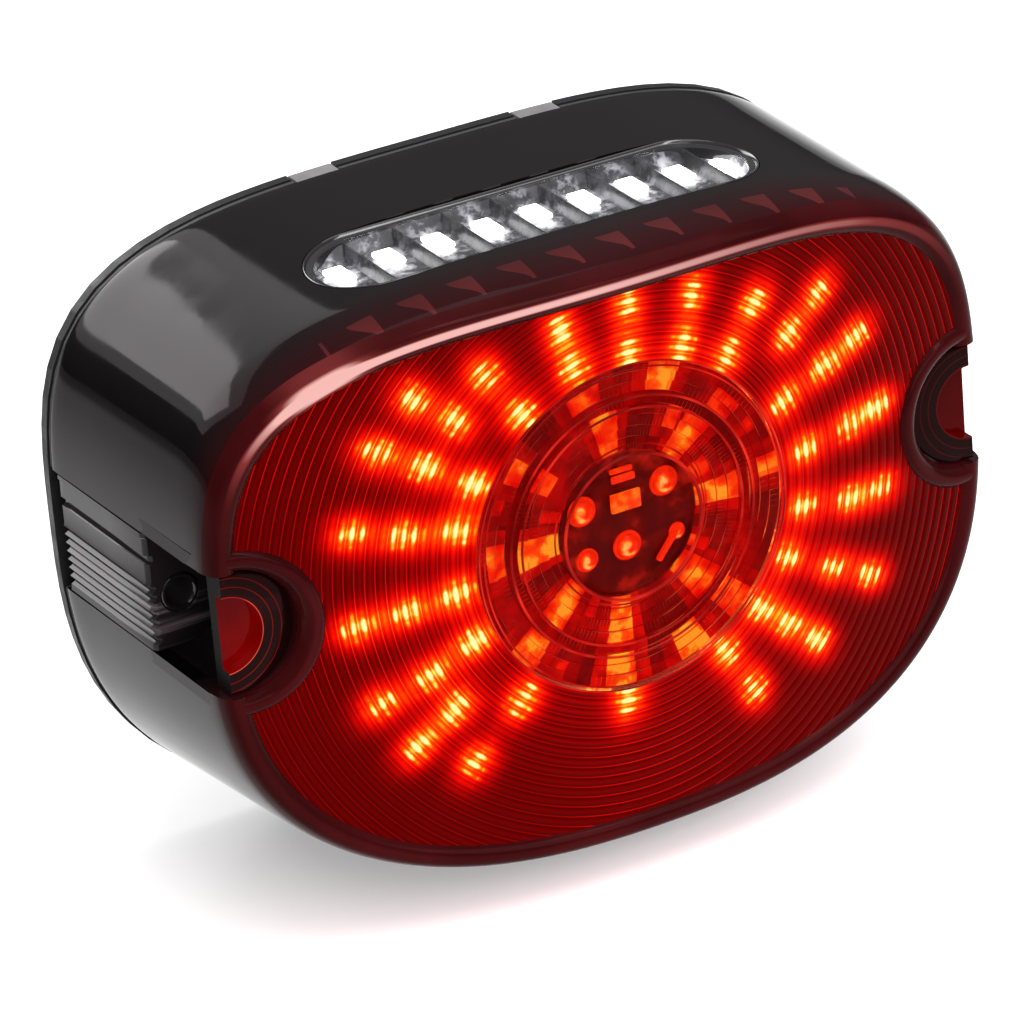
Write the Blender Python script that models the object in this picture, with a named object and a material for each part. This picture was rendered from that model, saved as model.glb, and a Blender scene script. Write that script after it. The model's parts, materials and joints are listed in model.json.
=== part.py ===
"""LED tail light for a motorcycle: smoked lens body, ridged face, plate-lamp window and side pockets.

Metres, +Z up. X is the width, the lens face looks along -Y, and the back mounting face lies in y = 0.
"""

import math

import bmesh
import bpy
from mathutils import Vector

MM = 0.001

# Overall shape
DEPTH = 58.0 * MM  # mounting face to the middle of the lens face
FACE_SAG = 8.0 * MM  # how far the face falls back at its two sides
SCREW_SPACING = 122.0 * MM
SCREW_TO_SIDE = 6.2 * MM
BACK_HALF_WIDTH = SCREW_SPACING / 2 + SCREW_TO_SIDE
SIDE_DRAFT = 1.9 * MM
FRONT_HALF_WIDTH = BACK_HALF_WIDTH - SIDE_DRAFT
TOP = 43.2 * MM
BACK_BOTTOM = -57.6 * MM
BOTTOM_DRAFT = 7.3 * MM
FRONT_BOTTOM = BACK_BOTTOM + BOTTOM_DRAFT
MIDDLE_Z = -2.9 * MM  # height at which the outline is widest
TOP_POWER = 3.65  # squareness of the outline's upper and lower corners
BOTTOM_POWER = 2.6
OUTLINE_POINTS = 96

# Walls and fits
WALL = 2.4 * MM
GAP = 0.3 * MM  # between pieces that touch
LIP = 4.4 * MM  # width of the bead that frames the face
BEAD_RISE = 0.9 * MM
SHOULDER_DROP = 2.4 * MM
# The shoulder and the bead: share of the depth, inset from the side, and shares of the drop and of the rise
SHOULDER = (
    (0.45, 0.0, 0.0, 0.0),
    (0.80, 0.0, 0.0, 0.0),
    (0.88, 0.0, 0.12, 0.0),
    (0.94, 0.0, 0.42, 0.0),
    (0.98, 0.3 * MM, 0.75, 0.0),
    (1.0, 1.1 * MM, 1.0, 0.4),
    (1.0, 2.2 * MM, 1.0, 1.0),
    (1.0, 3.4 * MM, 1.0, 0.5),
)
FACE_THICKNESS = 2.4 * MM

# Base plate and gasket
PLATE = 1.8 * MM
GASKET = 0.8 * MM
GASKET_INSET = 0.2 * MM
SPIGOT_HEIGHT = 5.0 * MM
SPIGOT_WALL = 2.0 * MM

# Side pockets, each with a half-round shelf in front of a ribbed block
POCKET_RADIUS = 9.8 * MM
POCKET_Z = -1.0 * MM
POCKET_REACH = 8.9 * MM  # from the screw's axis in to the pocket's deepest wall
POCKET_DEEPEST = SCREW_SPACING / 2 - POCKET_REACH
POCKET_WALL = 2.2 * MM
SHELF_SETBACK = 9.5 * MM  # lens face to the floor of the half-round recess
SHELF_THICKNESS = 2.4 * MM
SHELF_RIM = 2.0 * MM
SHELF_RECESS_RADIUS = 5.9 * MM
SHELF_EDGE = 3.9 * MM  # lamp's side to the shelf's straight edge
SCREW_Z = -2.2 * MM
SCREW_HOLE_RADIUS = 2.4 * MM
SLEEVE_RADIUS = 3.1 * MM
SLEEVE_BORE_RADIUS = 2.1 * MM
SIDE_BLOCK_BACK = 4.4 * MM
SIDE_BLOCK_SETBACK = 27.0 * MM  # lens face to the block's front
RIB_COUNT = 5
RIB_HEIGHT = 0.7 * MM
RIB_TOP = 0.35  # share of the pocket's radius at which the ribs begin
RIB_SPAN = 1.3  # height of the ribbed part, as a share of the pocket's radius

# Number-plate window in the top wall
WINDOW_TO_SIDE = 30.2 * MM  # the window's end to the lamp's side
WINDOW_HALF_LENGTH = BACK_HALF_WIDTH - WINDOW_TO_SIDE
WINDOW_HALF_WIDTH = 10.2 * MM
WINDOW_SETBACK = 23.4 * MM  # lens face to the window's centre line
WINDOW_DEPTH = DEPTH - WINDOW_SETBACK
WINDOW_RIM = 1.5 * MM
WINDOW_THICKNESS = 1.8 * MM
PLATE_LED_COUNT = 9
PLATE_LED_END = 4.4 * MM  # the window's end to the middle of the last LED
PLATE_LED_PITCH = 2 * (WINDOW_HALF_LENGTH - PLATE_LED_END) / (PLATE_LED_COUNT - 1)
PLATE_LED_SIZE = 3.0 * MM
PLATE_LED_RISE = 1.3 * MM
PLATE_BOARD = 1.2 * MM
PLATE_BOARD_DROP = 5.2 * MM  # the top wall over the window's ends down to the board's upper face
CELL_HEIGHT = 3.6 * MM
CELL_WALL = 0.9 * MM
SHELF = 1.8 * MM

# Centre lens: a disc and two rings set in the face
CENTRE_RADIUS = 11.4 * MM
INNER_RING_WIDTH = 9.0 * MM
INNER_RING_RADIUS = CENTRE_RADIUS + INNER_RING_WIDTH
OUTER_RING_WIDTH = 5.2 * MM
OUTER_RING_RADIUS = INNER_RING_RADIUS + OUTER_RING_WIDTH
CENTRE_CROWN = 1.2 * MM

# Main board and its LEDs
BOARD = 1.6 * MM
BOARD_SETBACK = 12.0 * MM
BOARD_DEPTH = DEPTH - BOARD_SETBACK  # mounting face to the board's back
BOARD_INSET = 5.4 * MM
BOARD_CORNER_GAP = 1.0 * MM
LED_WIDTH = 3.0 * MM
LED_LENGTH = 3.4 * MM
LED_RISE = 1.2 * MM
STRIP_WIDTH = 3.0 * MM
STRIP_THICKNESS = 0.8 * MM
STRIP_END = 1.2 * MM
LED_PITCH = 8.4 * MM
STEP = 0.25 * MM  # fineness of the search for room on the board
# Each row of LEDs: direction in degrees from +X, distance from the centre rings to the first LED, and LEDs
LED_ROWS = (
    (88, 3.0 * MM, 2),
    (69, 3.4 * MM, 2),
    (51, 3.8 * MM, 2),
    (37, 12.2 * MM, 2),
    (23, 5.0 * MM, 3),
    (6, 6.4 * MM, 3),
    (-11, 6.0 * MM, 3),
    (-27, 4.8 * MM, 3),
    (-43, 4.0 * MM, 3),
    (-60, 4.0 * MM, 2),
    (-96, 3.0 * MM, 1),
    (-133, 5.4 * MM, 2),
    (-146, 12.8 * MM, 2),
    (-158, 4.4 * MM, 3),
    (-175, 4.4 * MM, 3),
    (166, 4.4 * MM, 3),
    (150, 3.8 * MM, 3),
    (138, 12.2 * MM, 2),
    (126, 3.6 * MM, 2),
    (106, 3.8 * MM, 2),
)
CLUSTER_GAP = 0.8 * MM
CLUSTER_RADIUS = CENTRE_RADIUS - CLUSTER_GAP
CLUSTER_THICKNESS = 1.0 * MM
CLUSTER_LED_RADIUS = 1.9 * MM
CLUSTER_LED_RISE = 2.2 * MM
CLUSTER_LEDS = 4
CLUSTER_LED_CIRCLE = 6.2 * MM
REFLECTOR_STEPS = 3
REFLECTOR_OVERHANG = 2.0 * MM

# Posts and screws that hold the board
POST_RADIUS = 3.0 * MM
POST_HOLE_RADIUS = 1.3 * MM
POST_HOLE_DEPTH = 8.0 * MM
UPPER_POST = (BACK_HALF_WIDTH - 23.7 * MM, TOP - 14.2 * MM)
LOWER_POST = (BACK_HALF_WIDTH - 34.2 * MM, FRONT_BOTTOM + 11.8 * MM)
BOARD_SCREW_RADIUS = 1.0 * MM
BOARD_HOLE_RADIUS = 1.5 * MM
SCREW_HEAD_RADIUS = 2.3 * MM
SCREW_HEAD_HEIGHT = 1.3 * MM

# Driver parts on the back of the board: the chip and the inductor as (low x, low z, high x, high z, height)
CHIP = (-4.0 * MM, 8.0 * MM, 4.0 * MM, 16.0 * MM, 1.6 * MM)
INDUCTOR = (10.0 * MM, 6.0 * MM, 18.0 * MM, 14.0 * MM, 4.5 * MM)
CAPACITOR_PLACES = ((-20.0 * MM, 11.0 * MM), (-11.0 * MM, 11.0 * MM))
CAPACITOR_RADIUS = 3.2 * MM
CAPACITOR_HEIGHT = 7.0 * MM

# Connector in the base plate
SOCKET_Z = -22.0 * MM
SOCKET_WIDTH = 22.0 * MM
SOCKET_HEIGHT = 12.0 * MM
SOCKET_LENGTH = 15.0 * MM
SOCKET_WALL = 1.6 * MM
SOCKET_FLOOR = 2.4 * MM
PIN_COUNT = 4
PIN_PITCH = 4.2 * MM
PIN_SIZE = 1.0 * MM
PIN_RECESS = 4.8 * MM
PIN_TAIL = 3.0 * MM
PIN_CLEARANCE = 0.1 * MM
SOCKET_FLANGE = 1.6 * MM
CABLE_CLIMB = 12.0 * MM
CABLE_WIDTH = 13.6 * MM
CABLE_THICKNESS = 1.4 * MM
CABLE_SLACK = 7.0 * MM
VENT_RADIUS = 4.0 * MM
VENT_PLACE = (30.0 * MM, -30.0 * MM)

# Snap tabs in the rear edge of the top wall
TAB_X = 19.0 * MM
TAB_WIDTH = 7.0 * MM
TAB_LENGTH = 5.0 * MM
TAB_THICKNESS = 1.2 * MM

SIDES = (("left", -1), ("right", 1))


# Materials

def material(name, colour, roughness, metallic=0.0, alpha=1.0):
    made = bpy.data.materials.get(name) or bpy.data.materials.new(name)
    made.use_nodes = True
    shader = made.node_tree.nodes["Principled BSDF"]
    shader.inputs["Base Color"].default_value = (*colour, 1)
    shader.inputs["Roughness"].default_value = roughness
    shader.inputs["Metallic"].default_value = metallic
    shader.inputs["Alpha"].default_value = alpha
    return made


MATERIALS = {
    "smoked_lens": ((0.03, 0.027, 0.03), 0.08, 0.0, 0.9),
    "red_lens": ((0.6, 0.02, 0.015), 0.12, 0.0, 0.8),
    "clear_lens": ((0.85, 0.86, 0.88), 0.06, 0.0, 0.4),
    "black_plastic": ((0.02, 0.02, 0.022), 0.45),
    "black_rubber": ((0.015, 0.015, 0.015), 0.8),
    "circuit_board": ((0.75, 0.75, 0.72), 0.5),
    "red_led": ((0.95, 0.12, 0.03), 0.3),
    "white_led": ((0.95, 0.95, 0.9), 0.3),
    "chrome": ((0.8, 0.8, 0.82), 0.12, 1.0),
    "steel": ((0.6, 0.6, 0.62), 0.3, 1.0),
    "gold_contact": ((0.85, 0.65, 0.3), 0.25, 1.0),
    "component": ((0.06, 0.06, 0.07), 0.4),
}


# Mesh helpers

def add_object(name, mesh, slot):
    mesh.materials.append(material(slot, *MATERIALS[slot]))
    made = bpy.data.objects.new(name, mesh)
    bpy.context.scene.collection.objects.link(made)
    return made


def hide_helper(made):
    made.hide_render = True
    made.display_type = "WIRE"
    return made


def finish_mesh(name, bm, slot, smooth=False):
    """An object from the bmesh, with its faces turned outwards."""
    bmesh.ops.recalc_face_normals(bm, faces=bm.faces)
    mesh = bpy.data.meshes.new(name)
    bm.to_mesh(mesh)
    bm.free()
    if smooth:
        mesh.shade_smooth()
        mesh.set_sharp_from_angle(angle=math.radians(35))
    return add_object(name, mesh, slot)


def bridge(bm, first, second):
    """Quads between two rings with the same number of vertices."""
    for i in range(len(first)):
        j = (i + 1) % len(first)
        bm.faces.new((first[i], first[j], second[j], second[i]))


def add_rings(bm, rings):
    return [[bm.verts.new(point) for point in ring] for ring in rings]


def loft(name, rings, slot, smooth=True):
    """A solid skinned over the rings, with a flat face on each end ring."""
    bm = bmesh.new()
    loops = add_rings(bm, rings)
    for first, second in zip(loops, loops[1:]):
        bridge(bm, first, second)
    bm.faces.new(loops[0])
    bm.faces.new(loops[-1])
    return finish_mesh(name, bm, slot, smooth)


def hoop(name, rings, slot, smooth=True):
    """A solid with a hole through it: the last ring joins the first."""
    bm = bmesh.new()
    loops = add_rings(bm, rings)
    for first, second in zip(loops, loops[1:] + loops[:1]):
        bridge(bm, first, second)
    return finish_mesh(name, bm, slot, smooth)


def prism(name, outline, start, end, slot, axis="Y", smooth=False):
    """An outline pushed along an axis. The outline holds (x, z) points for Y and (x, y) points for Z."""
    if axis == "Y":
        rings = [[(a, level, b) for a, b in outline] for level in (start, end)]
    else:
        rings = [[(a, b, level) for a, b in outline] for level in (start, end)]
    return loft(name, rings, slot, smooth)


def box(name, low, high, slot):
    outline = ((low[0], low[2]), (high[0], low[2]), (high[0], high[2]), (low[0], high[2]))
    return prism(name, outline, low[1], high[1], slot)


def circle(x, z, radius, points=32):
    turns = [2 * math.pi * i / points for i in range(points)]
    return [(x + radius * math.cos(turn), z + radius * math.sin(turn)) for turn in turns]


def stadium(x, y, half_length, half_width, points=16):
    """A slot outline with round ends, long in the first direction."""
    straight = half_length - half_width
    made = []
    for i in range(2 * points):
        turn = -math.pi / 2 + math.pi * (i + (i >= points and -1)) / (points - 1)
        side = straight if i < points else -straight
        made.append((x + side + half_width * math.cos(turn), y + half_width * math.sin(turn)))
    return made


def boolean(target, tool, operation="DIFFERENCE"):
    modifier = target.modifiers.new(f"{operation.lower()} {tool.name}", "BOOLEAN")
    modifier.object = tool
    modifier.operation = operation
    return target


def cut(target, *tools):
    for tool in tools:
        boolean(target, hide_helper(tool))
    return target


def join(target, *tools):
    for tool in tools:
        boolean(target, hide_helper(tool), "UNION")
    return target


# Outline of the lamp

def mix(first, second, share):
    return first + (second - first) * share


def outline_at(share, inset=0.0, drop=0.0):
    """Points (x, z) of the lamp's outline, from the mounting face (share 0) to the lens face (share 1).

    drop lowers the top edge only.
    """
    half_width = mix(BACK_HALF_WIDTH, FRONT_HALF_WIDTH, share) - inset
    up = TOP - MIDDLE_Z - inset - drop
    down = MIDDLE_Z - mix(BACK_BOTTOM, FRONT_BOTTOM, share) - inset
    made = []
    for i in range(OUTLINE_POINTS):
        turn = 2 * math.pi * i / OUTLINE_POINTS
        x, z = math.cos(turn), math.sin(turn)
        height, power = (up, TOP_POWER) if z >= 0 else (down, BOTTOM_POWER)
        reach = (abs(x / half_width) ** power + abs(z / height) ** power) ** (-1 / power)
        made.append((x * reach, MIDDLE_Z + z * reach))
    return made


def outline_half(z, share, inset=0.0):
    """Half width, height and squareness of the outline's upper or lower half, whichever holds this height."""
    half_width = mix(BACK_HALF_WIDTH, FRONT_HALF_WIDTH, share) - inset
    if z >= MIDDLE_Z:
        return half_width, TOP - MIDDLE_Z - inset, TOP_POWER
    return half_width, MIDDLE_Z - mix(BACK_BOTTOM, FRONT_BOTTOM, share) - inset, BOTTOM_POWER


def outline_level(x, z, share, inset):
    """Below 1 inside the outline, 1 on it and above 1 outside it."""
    half_width, height, power = outline_half(z, share, inset)
    return abs(x / half_width) ** power + abs((z - MIDDLE_Z) / height) ** power


def wall_x(z, share):
    """Distance from the middle plane to the lamp's side at this height."""
    half_width, height, power = outline_half(z, share)
    return half_width * (1 - abs((z - MIDDLE_Z) / height) ** power) ** (1 / power)


def face_y(x, back=0.0):
    """Y of the lens face's outer surface at x, or of a surface this far behind it."""
    return -DEPTH + FACE_SAG * (x / FRONT_HALF_WIDTH) ** 2 + back


def flat_ring(y, inset=0.0, share=None):
    share = -y / DEPTH if share is None else share
    return [(x, y, z) for x, z in outline_at(share, inset)]


def body_ring(share, inset=0.0, drop=0.0, back=0.0):
    """A ring of the lens body: its depth follows the curved face in proportion to share."""
    return [(x, share * face_y(x) + back, z) for x, z in outline_at(share, inset, drop)]


def outer_rings(inset=0.0):
    """The lens body's outside, from its rear edge to the crest of the bead."""
    rings = [flat_ring(-(PLATE + GASKET + 2 * GAP), inset)]
    for share, side, drop, rise in SHOULDER:
        back = inset - rise * BEAD_RISE if rise else 0.0
        rings.append(body_ring(share, inset + side, drop * SHOULDER_DROP, back))
    return rings


def notch_outline(side, extra=0.0):
    """The side pocket's U, open to the side, grown by extra."""
    radius = POCKET_RADIUS + extra
    centre = POCKET_DEEPEST + POCKET_RADIUS
    far = BACK_HALF_WIDTH + 12 * MM
    made = [(side * far, POCKET_Z - radius)]
    for i in range(17):
        turn = -math.pi / 2 - math.pi * i / 16
        made.append((side * (centre + radius * math.cos(turn)), POCKET_Z + radius * math.sin(turn)))
    made.append((side * far, POCKET_Z + radius))
    return made


def screw_x(side):
    return side * SCREW_SPACING / 2


# Lens body and face

def make_lens_body():
    rear = PLATE + GASKET + 2 * GAP
    inside = [
        body_ring(1.0, LIP, SHOULDER_DROP),
        body_ring(1.0, LIP, SHOULDER_DROP, FACE_THICKNESS),
        body_ring(0.92, WALL + 0.5 * MM, 0.4 * SHOULDER_DROP),
        body_ring(0.80, WALL),
        flat_ring(-rear, WALL),
    ]
    body = hoop("lens_body", outer_rings() + inside, "smoked_lens")
    limit_rings = outer_rings(0.5 * MM)
    rim = limit_rings[-1]
    for share in (0.8, 0.55, 0.3, 0.1):
        shrunk = [(x * share, MIDDLE_Z + (z - MIDDLE_Z) * share) for x, _, z in rim]
        limit_rings.append([(x, face_y(x), z) for x, z in shrunk])
    limit = hide_helper(loft("pocket_limit", limit_rings, "smoked_lens"))
    for word, side in SIDES:
        outline = notch_outline(side, POCKET_WALL)
        wall = prism(f"pocket_wall_{word}", outline, -DEPTH - 4 * MM, -rear, "smoked_lens")
        boolean(wall, limit, "INTERSECT")
        join(body, wall)
    for word, side in SIDES:
        channel = prism(f"pocket_channel_{word}", notch_outline(side), -DEPTH - 6 * MM, MM, "smoked_lens")
        cut(body, channel)
    slot = stadium(0, -WINDOW_DEPTH, WINDOW_HALF_LENGTH, WINDOW_HALF_WIDTH)
    cut(body, prism("window_slot", slot, TOP - 8 * MM, TOP + 4 * MM, "smoked_lens", "Z"))
    cut(body, *tab_cutters("body"))
    return body


def tab_cutters(word):
    half = TAB_WIDTH / 2 + GAP
    return [
        box(
            f"tab_slot_{word}_{name}",
            (side * TAB_X - half, -TAB_LENGTH - GAP, TOP - TAB_THICKNESS - GAP),
            (side * TAB_X + half, MM, TOP + 3 * MM),
            "smoked_lens",
        )
        for name, side in SIDES
    ]


def make_lens_face():
    """The ridged panel inside the bead, with a round hole for the centre lens."""
    hole = [
        (OUTER_RING_RADIUS * math.cos(turn), OUTER_RING_RADIUS * math.sin(turn))
        for turn in (2 * math.pi * i / OUTLINE_POINTS for i in range(OUTLINE_POINTS))
    ]
    edge = outline_at(1.0, LIP + GAP, SHOULDER_DROP)
    shares = (1.0, 0.75, 0.5, 0.25, 0.0)
    plan = [
        [(mix(a[0], b[0], share), mix(a[1], b[1], share)) for a, b in zip(hole, edge)]
        for share in shares
    ]
    front = [[(x, face_y(x), z) for x, z in ring] for ring in plan]
    rear = [[(x, face_y(x, FACE_THICKNESS - GAP), z) for x, z in ring] for ring in reversed(plan)]
    face = hoop("lens_face", front + rear, "red_lens")
    for word, side in SIDES:
        outline = notch_outline(side, POCKET_WALL + GAP)
        cut(face, prism(f"face_notch_{word}", outline, -DEPTH - 6 * MM, MM, "red_lens"))
    return face


def turned(profile, segments=64):
    """Rings about the lens axis, one for each (radius, y) point of the profile."""
    rings = []
    for radius, y in profile:
        turns = [2 * math.pi * i / segments for i in range(segments)]
        rings.append([(radius * math.cos(turn), y, radius * math.sin(turn)) for turn in turns])
    return rings


def make_centre_lens():
    """The disc and two rings in the middle of the face, each a turned piece with a stepped edge."""
    back = -DEPTH + FACE_THICKNESS - GAP
    disc = [
        (CENTRE_RADIUS - GAP, back),
        (CENTRE_RADIUS - GAP, -DEPTH),
        (0.7 * CENTRE_RADIUS, -DEPTH - 0.6 * CENTRE_CROWN),
        (0.35 * CENTRE_RADIUS, -DEPTH - 0.95 * CENTRE_CROWN),
        (0.05 * CENTRE_RADIUS, -DEPTH - CENTRE_CROWN),
    ]
    loft("centre_disc_lens", turned(disc), "red_lens")
    inner = [
        (CENTRE_RADIUS, back),
        (CENTRE_RADIUS, -DEPTH - 0.2 * CENTRE_CROWN),
        (mix(CENTRE_RADIUS, INNER_RING_RADIUS, 0.5), -DEPTH + 0.5 * CENTRE_CROWN),
        (INNER_RING_RADIUS - GAP, -DEPTH - 0.2 * CENTRE_CROWN),
        (INNER_RING_RADIUS - GAP, back),
    ]
    hoop("centre_inner_ring", turned(inner), "red_lens")
    outer = [
        (INNER_RING_RADIUS, back),
        (INNER_RING_RADIUS, -DEPTH),
        (mix(INNER_RING_RADIUS, OUTER_RING_RADIUS, 0.5), -DEPTH - 0.5 * CENTRE_CROWN),
        (OUTER_RING_RADIUS - GAP, -DEPTH),
        (OUTER_RING_RADIUS - GAP, back),
    ]
    hoop("centre_outer_ring", turned(outer), "red_lens")


def make_reflector():
    """A stepped bright cup between the board and the centre rings."""
    low = -(BOARD_DEPTH + BOARD + GAP)
    high = -DEPTH + FACE_THICKNESS
    foot = low - REFLECTOR_OVERHANG / 2
    inner = CENTRE_RADIUS - GAP
    outer = INNER_RING_RADIUS + REFLECTOR_OVERHANG
    profile = [(outer, low), (outer, high)]
    for step in range(REFLECTOR_STEPS):
        radius = mix(outer, inner + REFLECTOR_OVERHANG, (step + 0.5) / REFLECTOR_STEPS)
        profile.append((radius, mix(high, foot, step / REFLECTOR_STEPS)))
        profile.append((radius, mix(high, foot, (step + 1) / REFLECTOR_STEPS)))
    profile += [(inner, foot), (inner, low)]
    hoop("reflector_ring", turned(profile), "chrome", smooth=False)


# Main board

def board_posts():
    for x, z in (UPPER_POST, LOWER_POST):
        for side in (-1, 1):
            yield side * x, z


def make_main_board():
    share = BOARD_DEPTH / DEPTH
    outline = outline_at(share, BOARD_INSET)
    board = prism("main_board", outline, -BOARD_DEPTH, -BOARD_DEPTH - BOARD, "circuit_board")
    for word, side in SIDES:
        notch = notch_outline(side, POCKET_WALL + BOARD_CORNER_GAP)
        cut(board, prism(f"board_notch_{word}", notch, -DEPTH, 0, "circuit_board"))
    for number, (x, z) in enumerate(board_posts(), 1):
        hole = circle(x, z, BOARD_HOLE_RADIUS, 16)
        cut(board, prism(f"board_hole_{number}", hole, -DEPTH, 0, "circuit_board"))
        make_board_screw(number, x, z)
    return board


def make_board_screw(number, x, z):
    seat = -(BOARD_DEPTH + BOARD + GAP)
    rings = []
    for radius, y in (
        (BOARD_SCREW_RADIUS, -BOARD_DEPTH + POST_HOLE_DEPTH - 2 * MM),
        (BOARD_SCREW_RADIUS, seat),
        (SCREW_HEAD_RADIUS, seat),
        (SCREW_HEAD_RADIUS, seat - 0.6 * SCREW_HEAD_HEIGHT),
        (0.6 * SCREW_HEAD_RADIUS, seat - SCREW_HEAD_HEIGHT),
    ):
        rings.append([(a, y, b) for a, b in circle(x, z, radius, 16)])
    loft(f"board_screw_{number}", rings, "steel")


def bumpy_profile(start, end, bumps, base, rise, length):
    """A side view (along, height) of a strip that carries blocks at the given places."""
    made = [(start, 0), (start, base)]
    for place in bumps:
        made += [
            (place - length / 2, base),
            (place - 0.42 * length, base + rise),
            (place + 0.42 * length, base + rise),
            (place + length / 2, base),
        ]
    made += [(end, base), (end, 0)]
    return made


def is_free(x, z, room):
    """True where a place on the board lies this far from its edge, its screws and the pockets."""
    if outline_level(x, z, BOARD_DEPTH / DEPTH, BOARD_INSET + room) > 1:
        return False
    pocket = POCKET_RADIUS + POCKET_WALL + BOARD_CORNER_GAP + room
    if math.hypot(abs(x) - POCKET_DEEPEST - POCKET_RADIUS, z - POCKET_Z) < pocket:
        return False
    return all(math.hypot(x - a, z - b) > SCREW_HEAD_RADIUS + room for a, b in board_posts())


def led_places(direction, first, count):
    """Distances from the centre of a row's LEDs, fewer and closer where the board lacks room for them all."""
    turn = math.radians(direction)
    side_room = STRIP_WIDTH / 2 + GAP
    end_room = LED_LENGTH / 2 + STRIP_END
    first = OUTER_RING_RADIUS + first
    reach = INNER_RING_RADIUS + REFLECTOR_OVERHANG
    while reach < first + (count - 1) * LED_PITCH + end_room:
        if not is_free((reach + STEP) * math.cos(turn), (reach + STEP) * math.sin(turn), side_room):
            break
        reach += STEP
    last = reach - end_room
    first = min(first, last)
    count = min(count, 1 + int((last - first) / (LED_LENGTH + GAP)))
    if count == 1:
        return [first]
    return [mix(first, last, i / (count - 1)) for i in range(count)]


def make_led_strips():
    """One strip for each row of red LEDs, which points away from the centre."""
    seat = -(BOARD_DEPTH + BOARD + GAP)
    for number, (direction, first, count) in enumerate(LED_ROWS, 1):
        places = led_places(direction, first, count)
        start = places[0] - LED_LENGTH / 2 - STRIP_END
        end = places[-1] + LED_LENGTH / 2 + STRIP_END
        profile = bumpy_profile(start, end, places, STRIP_THICKNESS, LED_RISE, LED_LENGTH)
        turn = math.radians(direction)
        along = Vector((math.cos(turn), 0, math.sin(turn)))
        across = Vector((-along.z, 0, along.x)) * STRIP_WIDTH / 2
        rings = [
            [along * a + side * across + Vector((0, seat - height, 0)) for a, height in profile]
            for side in (-1, 1)
        ]
        loft(f"led_row_{number:02d}", rings, "red_led", smooth=False)


def make_centre_cluster():
    seat = -(BOARD_DEPTH + BOARD + GAP)
    top = seat - CLUSTER_THICKNESS
    cluster = prism("centre_led_cluster", circle(0, 0, CLUSTER_RADIUS, 48), seat, top, "red_led")
    places = [(0, 0)]
    for i in range(CLUSTER_LEDS):
        turn = math.radians(45) + 2 * math.pi * i / CLUSTER_LEDS
        places.append((CLUSTER_LED_CIRCLE * math.cos(turn), CLUSTER_LED_CIRCLE * math.sin(turn)))
    for number, (x, z) in enumerate(places, 1):
        rings = []
        for share, rise in ((1, -0.3), (1, 0.45), (0.8, 0.8), (0.4, 1.0)):
            y = top - rise * CLUSTER_LED_RISE
            rings.append([(a, y, b) for a, b in circle(x, z, share * CLUSTER_LED_RADIUS, 16)])
        join(cluster, loft(f"cluster_dome_{number}", rings, "red_led"))
    return cluster


def make_driver():
    """The parts that feed the LEDs, on the back of the board."""
    back = -BOARD_DEPTH + GAP
    for name, place in (("driver_chip", CHIP), ("driver_inductor", INDUCTOR)):
        low_x, low_z, high_x, high_z, height = place
        box(name, (low_x, back, low_z), (high_x, back + height, high_z), "component")
    for number, (x, z) in enumerate(CAPACITOR_PLACES, 1):
        outline = circle(x, z, CAPACITOR_RADIUS, 24)
        prism(f"driver_capacitor_{number}", outline, back, back + CAPACITOR_HEIGHT, "steel")


# Number-plate lamp

def window_height(x, y):
    """The top wall's outer surface over (x, y)."""
    half_width = mix(BACK_HALF_WIDTH, FRONT_HALF_WIDTH, -y / DEPTH)
    height = TOP - MIDDLE_Z
    return MIDDLE_Z + height * (1 - abs(x / half_width) ** TOP_POWER) ** (1 / TOP_POWER)


def plate_board_base():
    """Height of the plate lamp's board, under the lower ends of the crowned window."""
    return window_height(WINDOW_HALF_LENGTH, -WINDOW_DEPTH) - PLATE_BOARD_DROP - PLATE_BOARD


def window_rings(half_length, half_width, levels):
    """Slot-shaped rings that follow the crown of the top wall, each this far below it."""
    outline = stadium(0, -WINDOW_DEPTH, half_length, half_width)
    return [[(x, y, window_height(x, y) - level) for x, y in outline] for level in levels]


def make_window():
    rim_outer = (WINDOW_HALF_LENGTH - GAP, WINDOW_HALF_WIDTH - GAP)
    rim_inner = (rim_outer[0] - WINDOW_RIM, rim_outer[1] - WINDOW_RIM)
    levels = (-0.3 * MM, WINDOW_THICKNESS + 0.8 * MM)
    rings = window_rings(*rim_outer, levels) + window_rings(*rim_inner, reversed(levels))
    hoop("window_gasket", rings, "black_rubber", smooth=False)
    glass = (rim_inner[0] - GAP, rim_inner[1] - GAP)
    bm = bmesh.new()
    top, bottom = (add_crowned_sheet(bm, *glass, level) for level in (0, WINDOW_THICKNESS))
    bridge(bm, top, bottom)
    finish_mesh("plate_window", bm, "clear_lens", smooth=True)


def add_crowned_sheet(bm, half_length, half_width, level):
    """A slot-shaped sheet split into strips across its length, so that it can follow the crown."""
    columns = 24
    rims = ([], [])
    for i in range(columns + 1):
        x = -half_length * math.cos(math.pi * (i + 0.5) / (columns + 1))
        over = max(abs(x) - (half_length - half_width), 0)
        reach = math.sqrt(half_width ** 2 - over ** 2)
        for rim, sign in zip(rims, (-1, 1)):
            y = -WINDOW_DEPTH + sign * reach
            rim.append(bm.verts.new((x, y, window_height(x, -WINDOW_DEPTH) - level)))
    for i in range(columns):
        bm.faces.new((rims[0][i], rims[0][i + 1], rims[1][i + 1], rims[1][i]))
    return rims[0] + rims[1][::-1]


def plate_led_places():
    middle = (PLATE_LED_COUNT - 1) / 2
    return [(i - middle) * PLATE_LED_PITCH for i in range(PLATE_LED_COUNT)]


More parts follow.
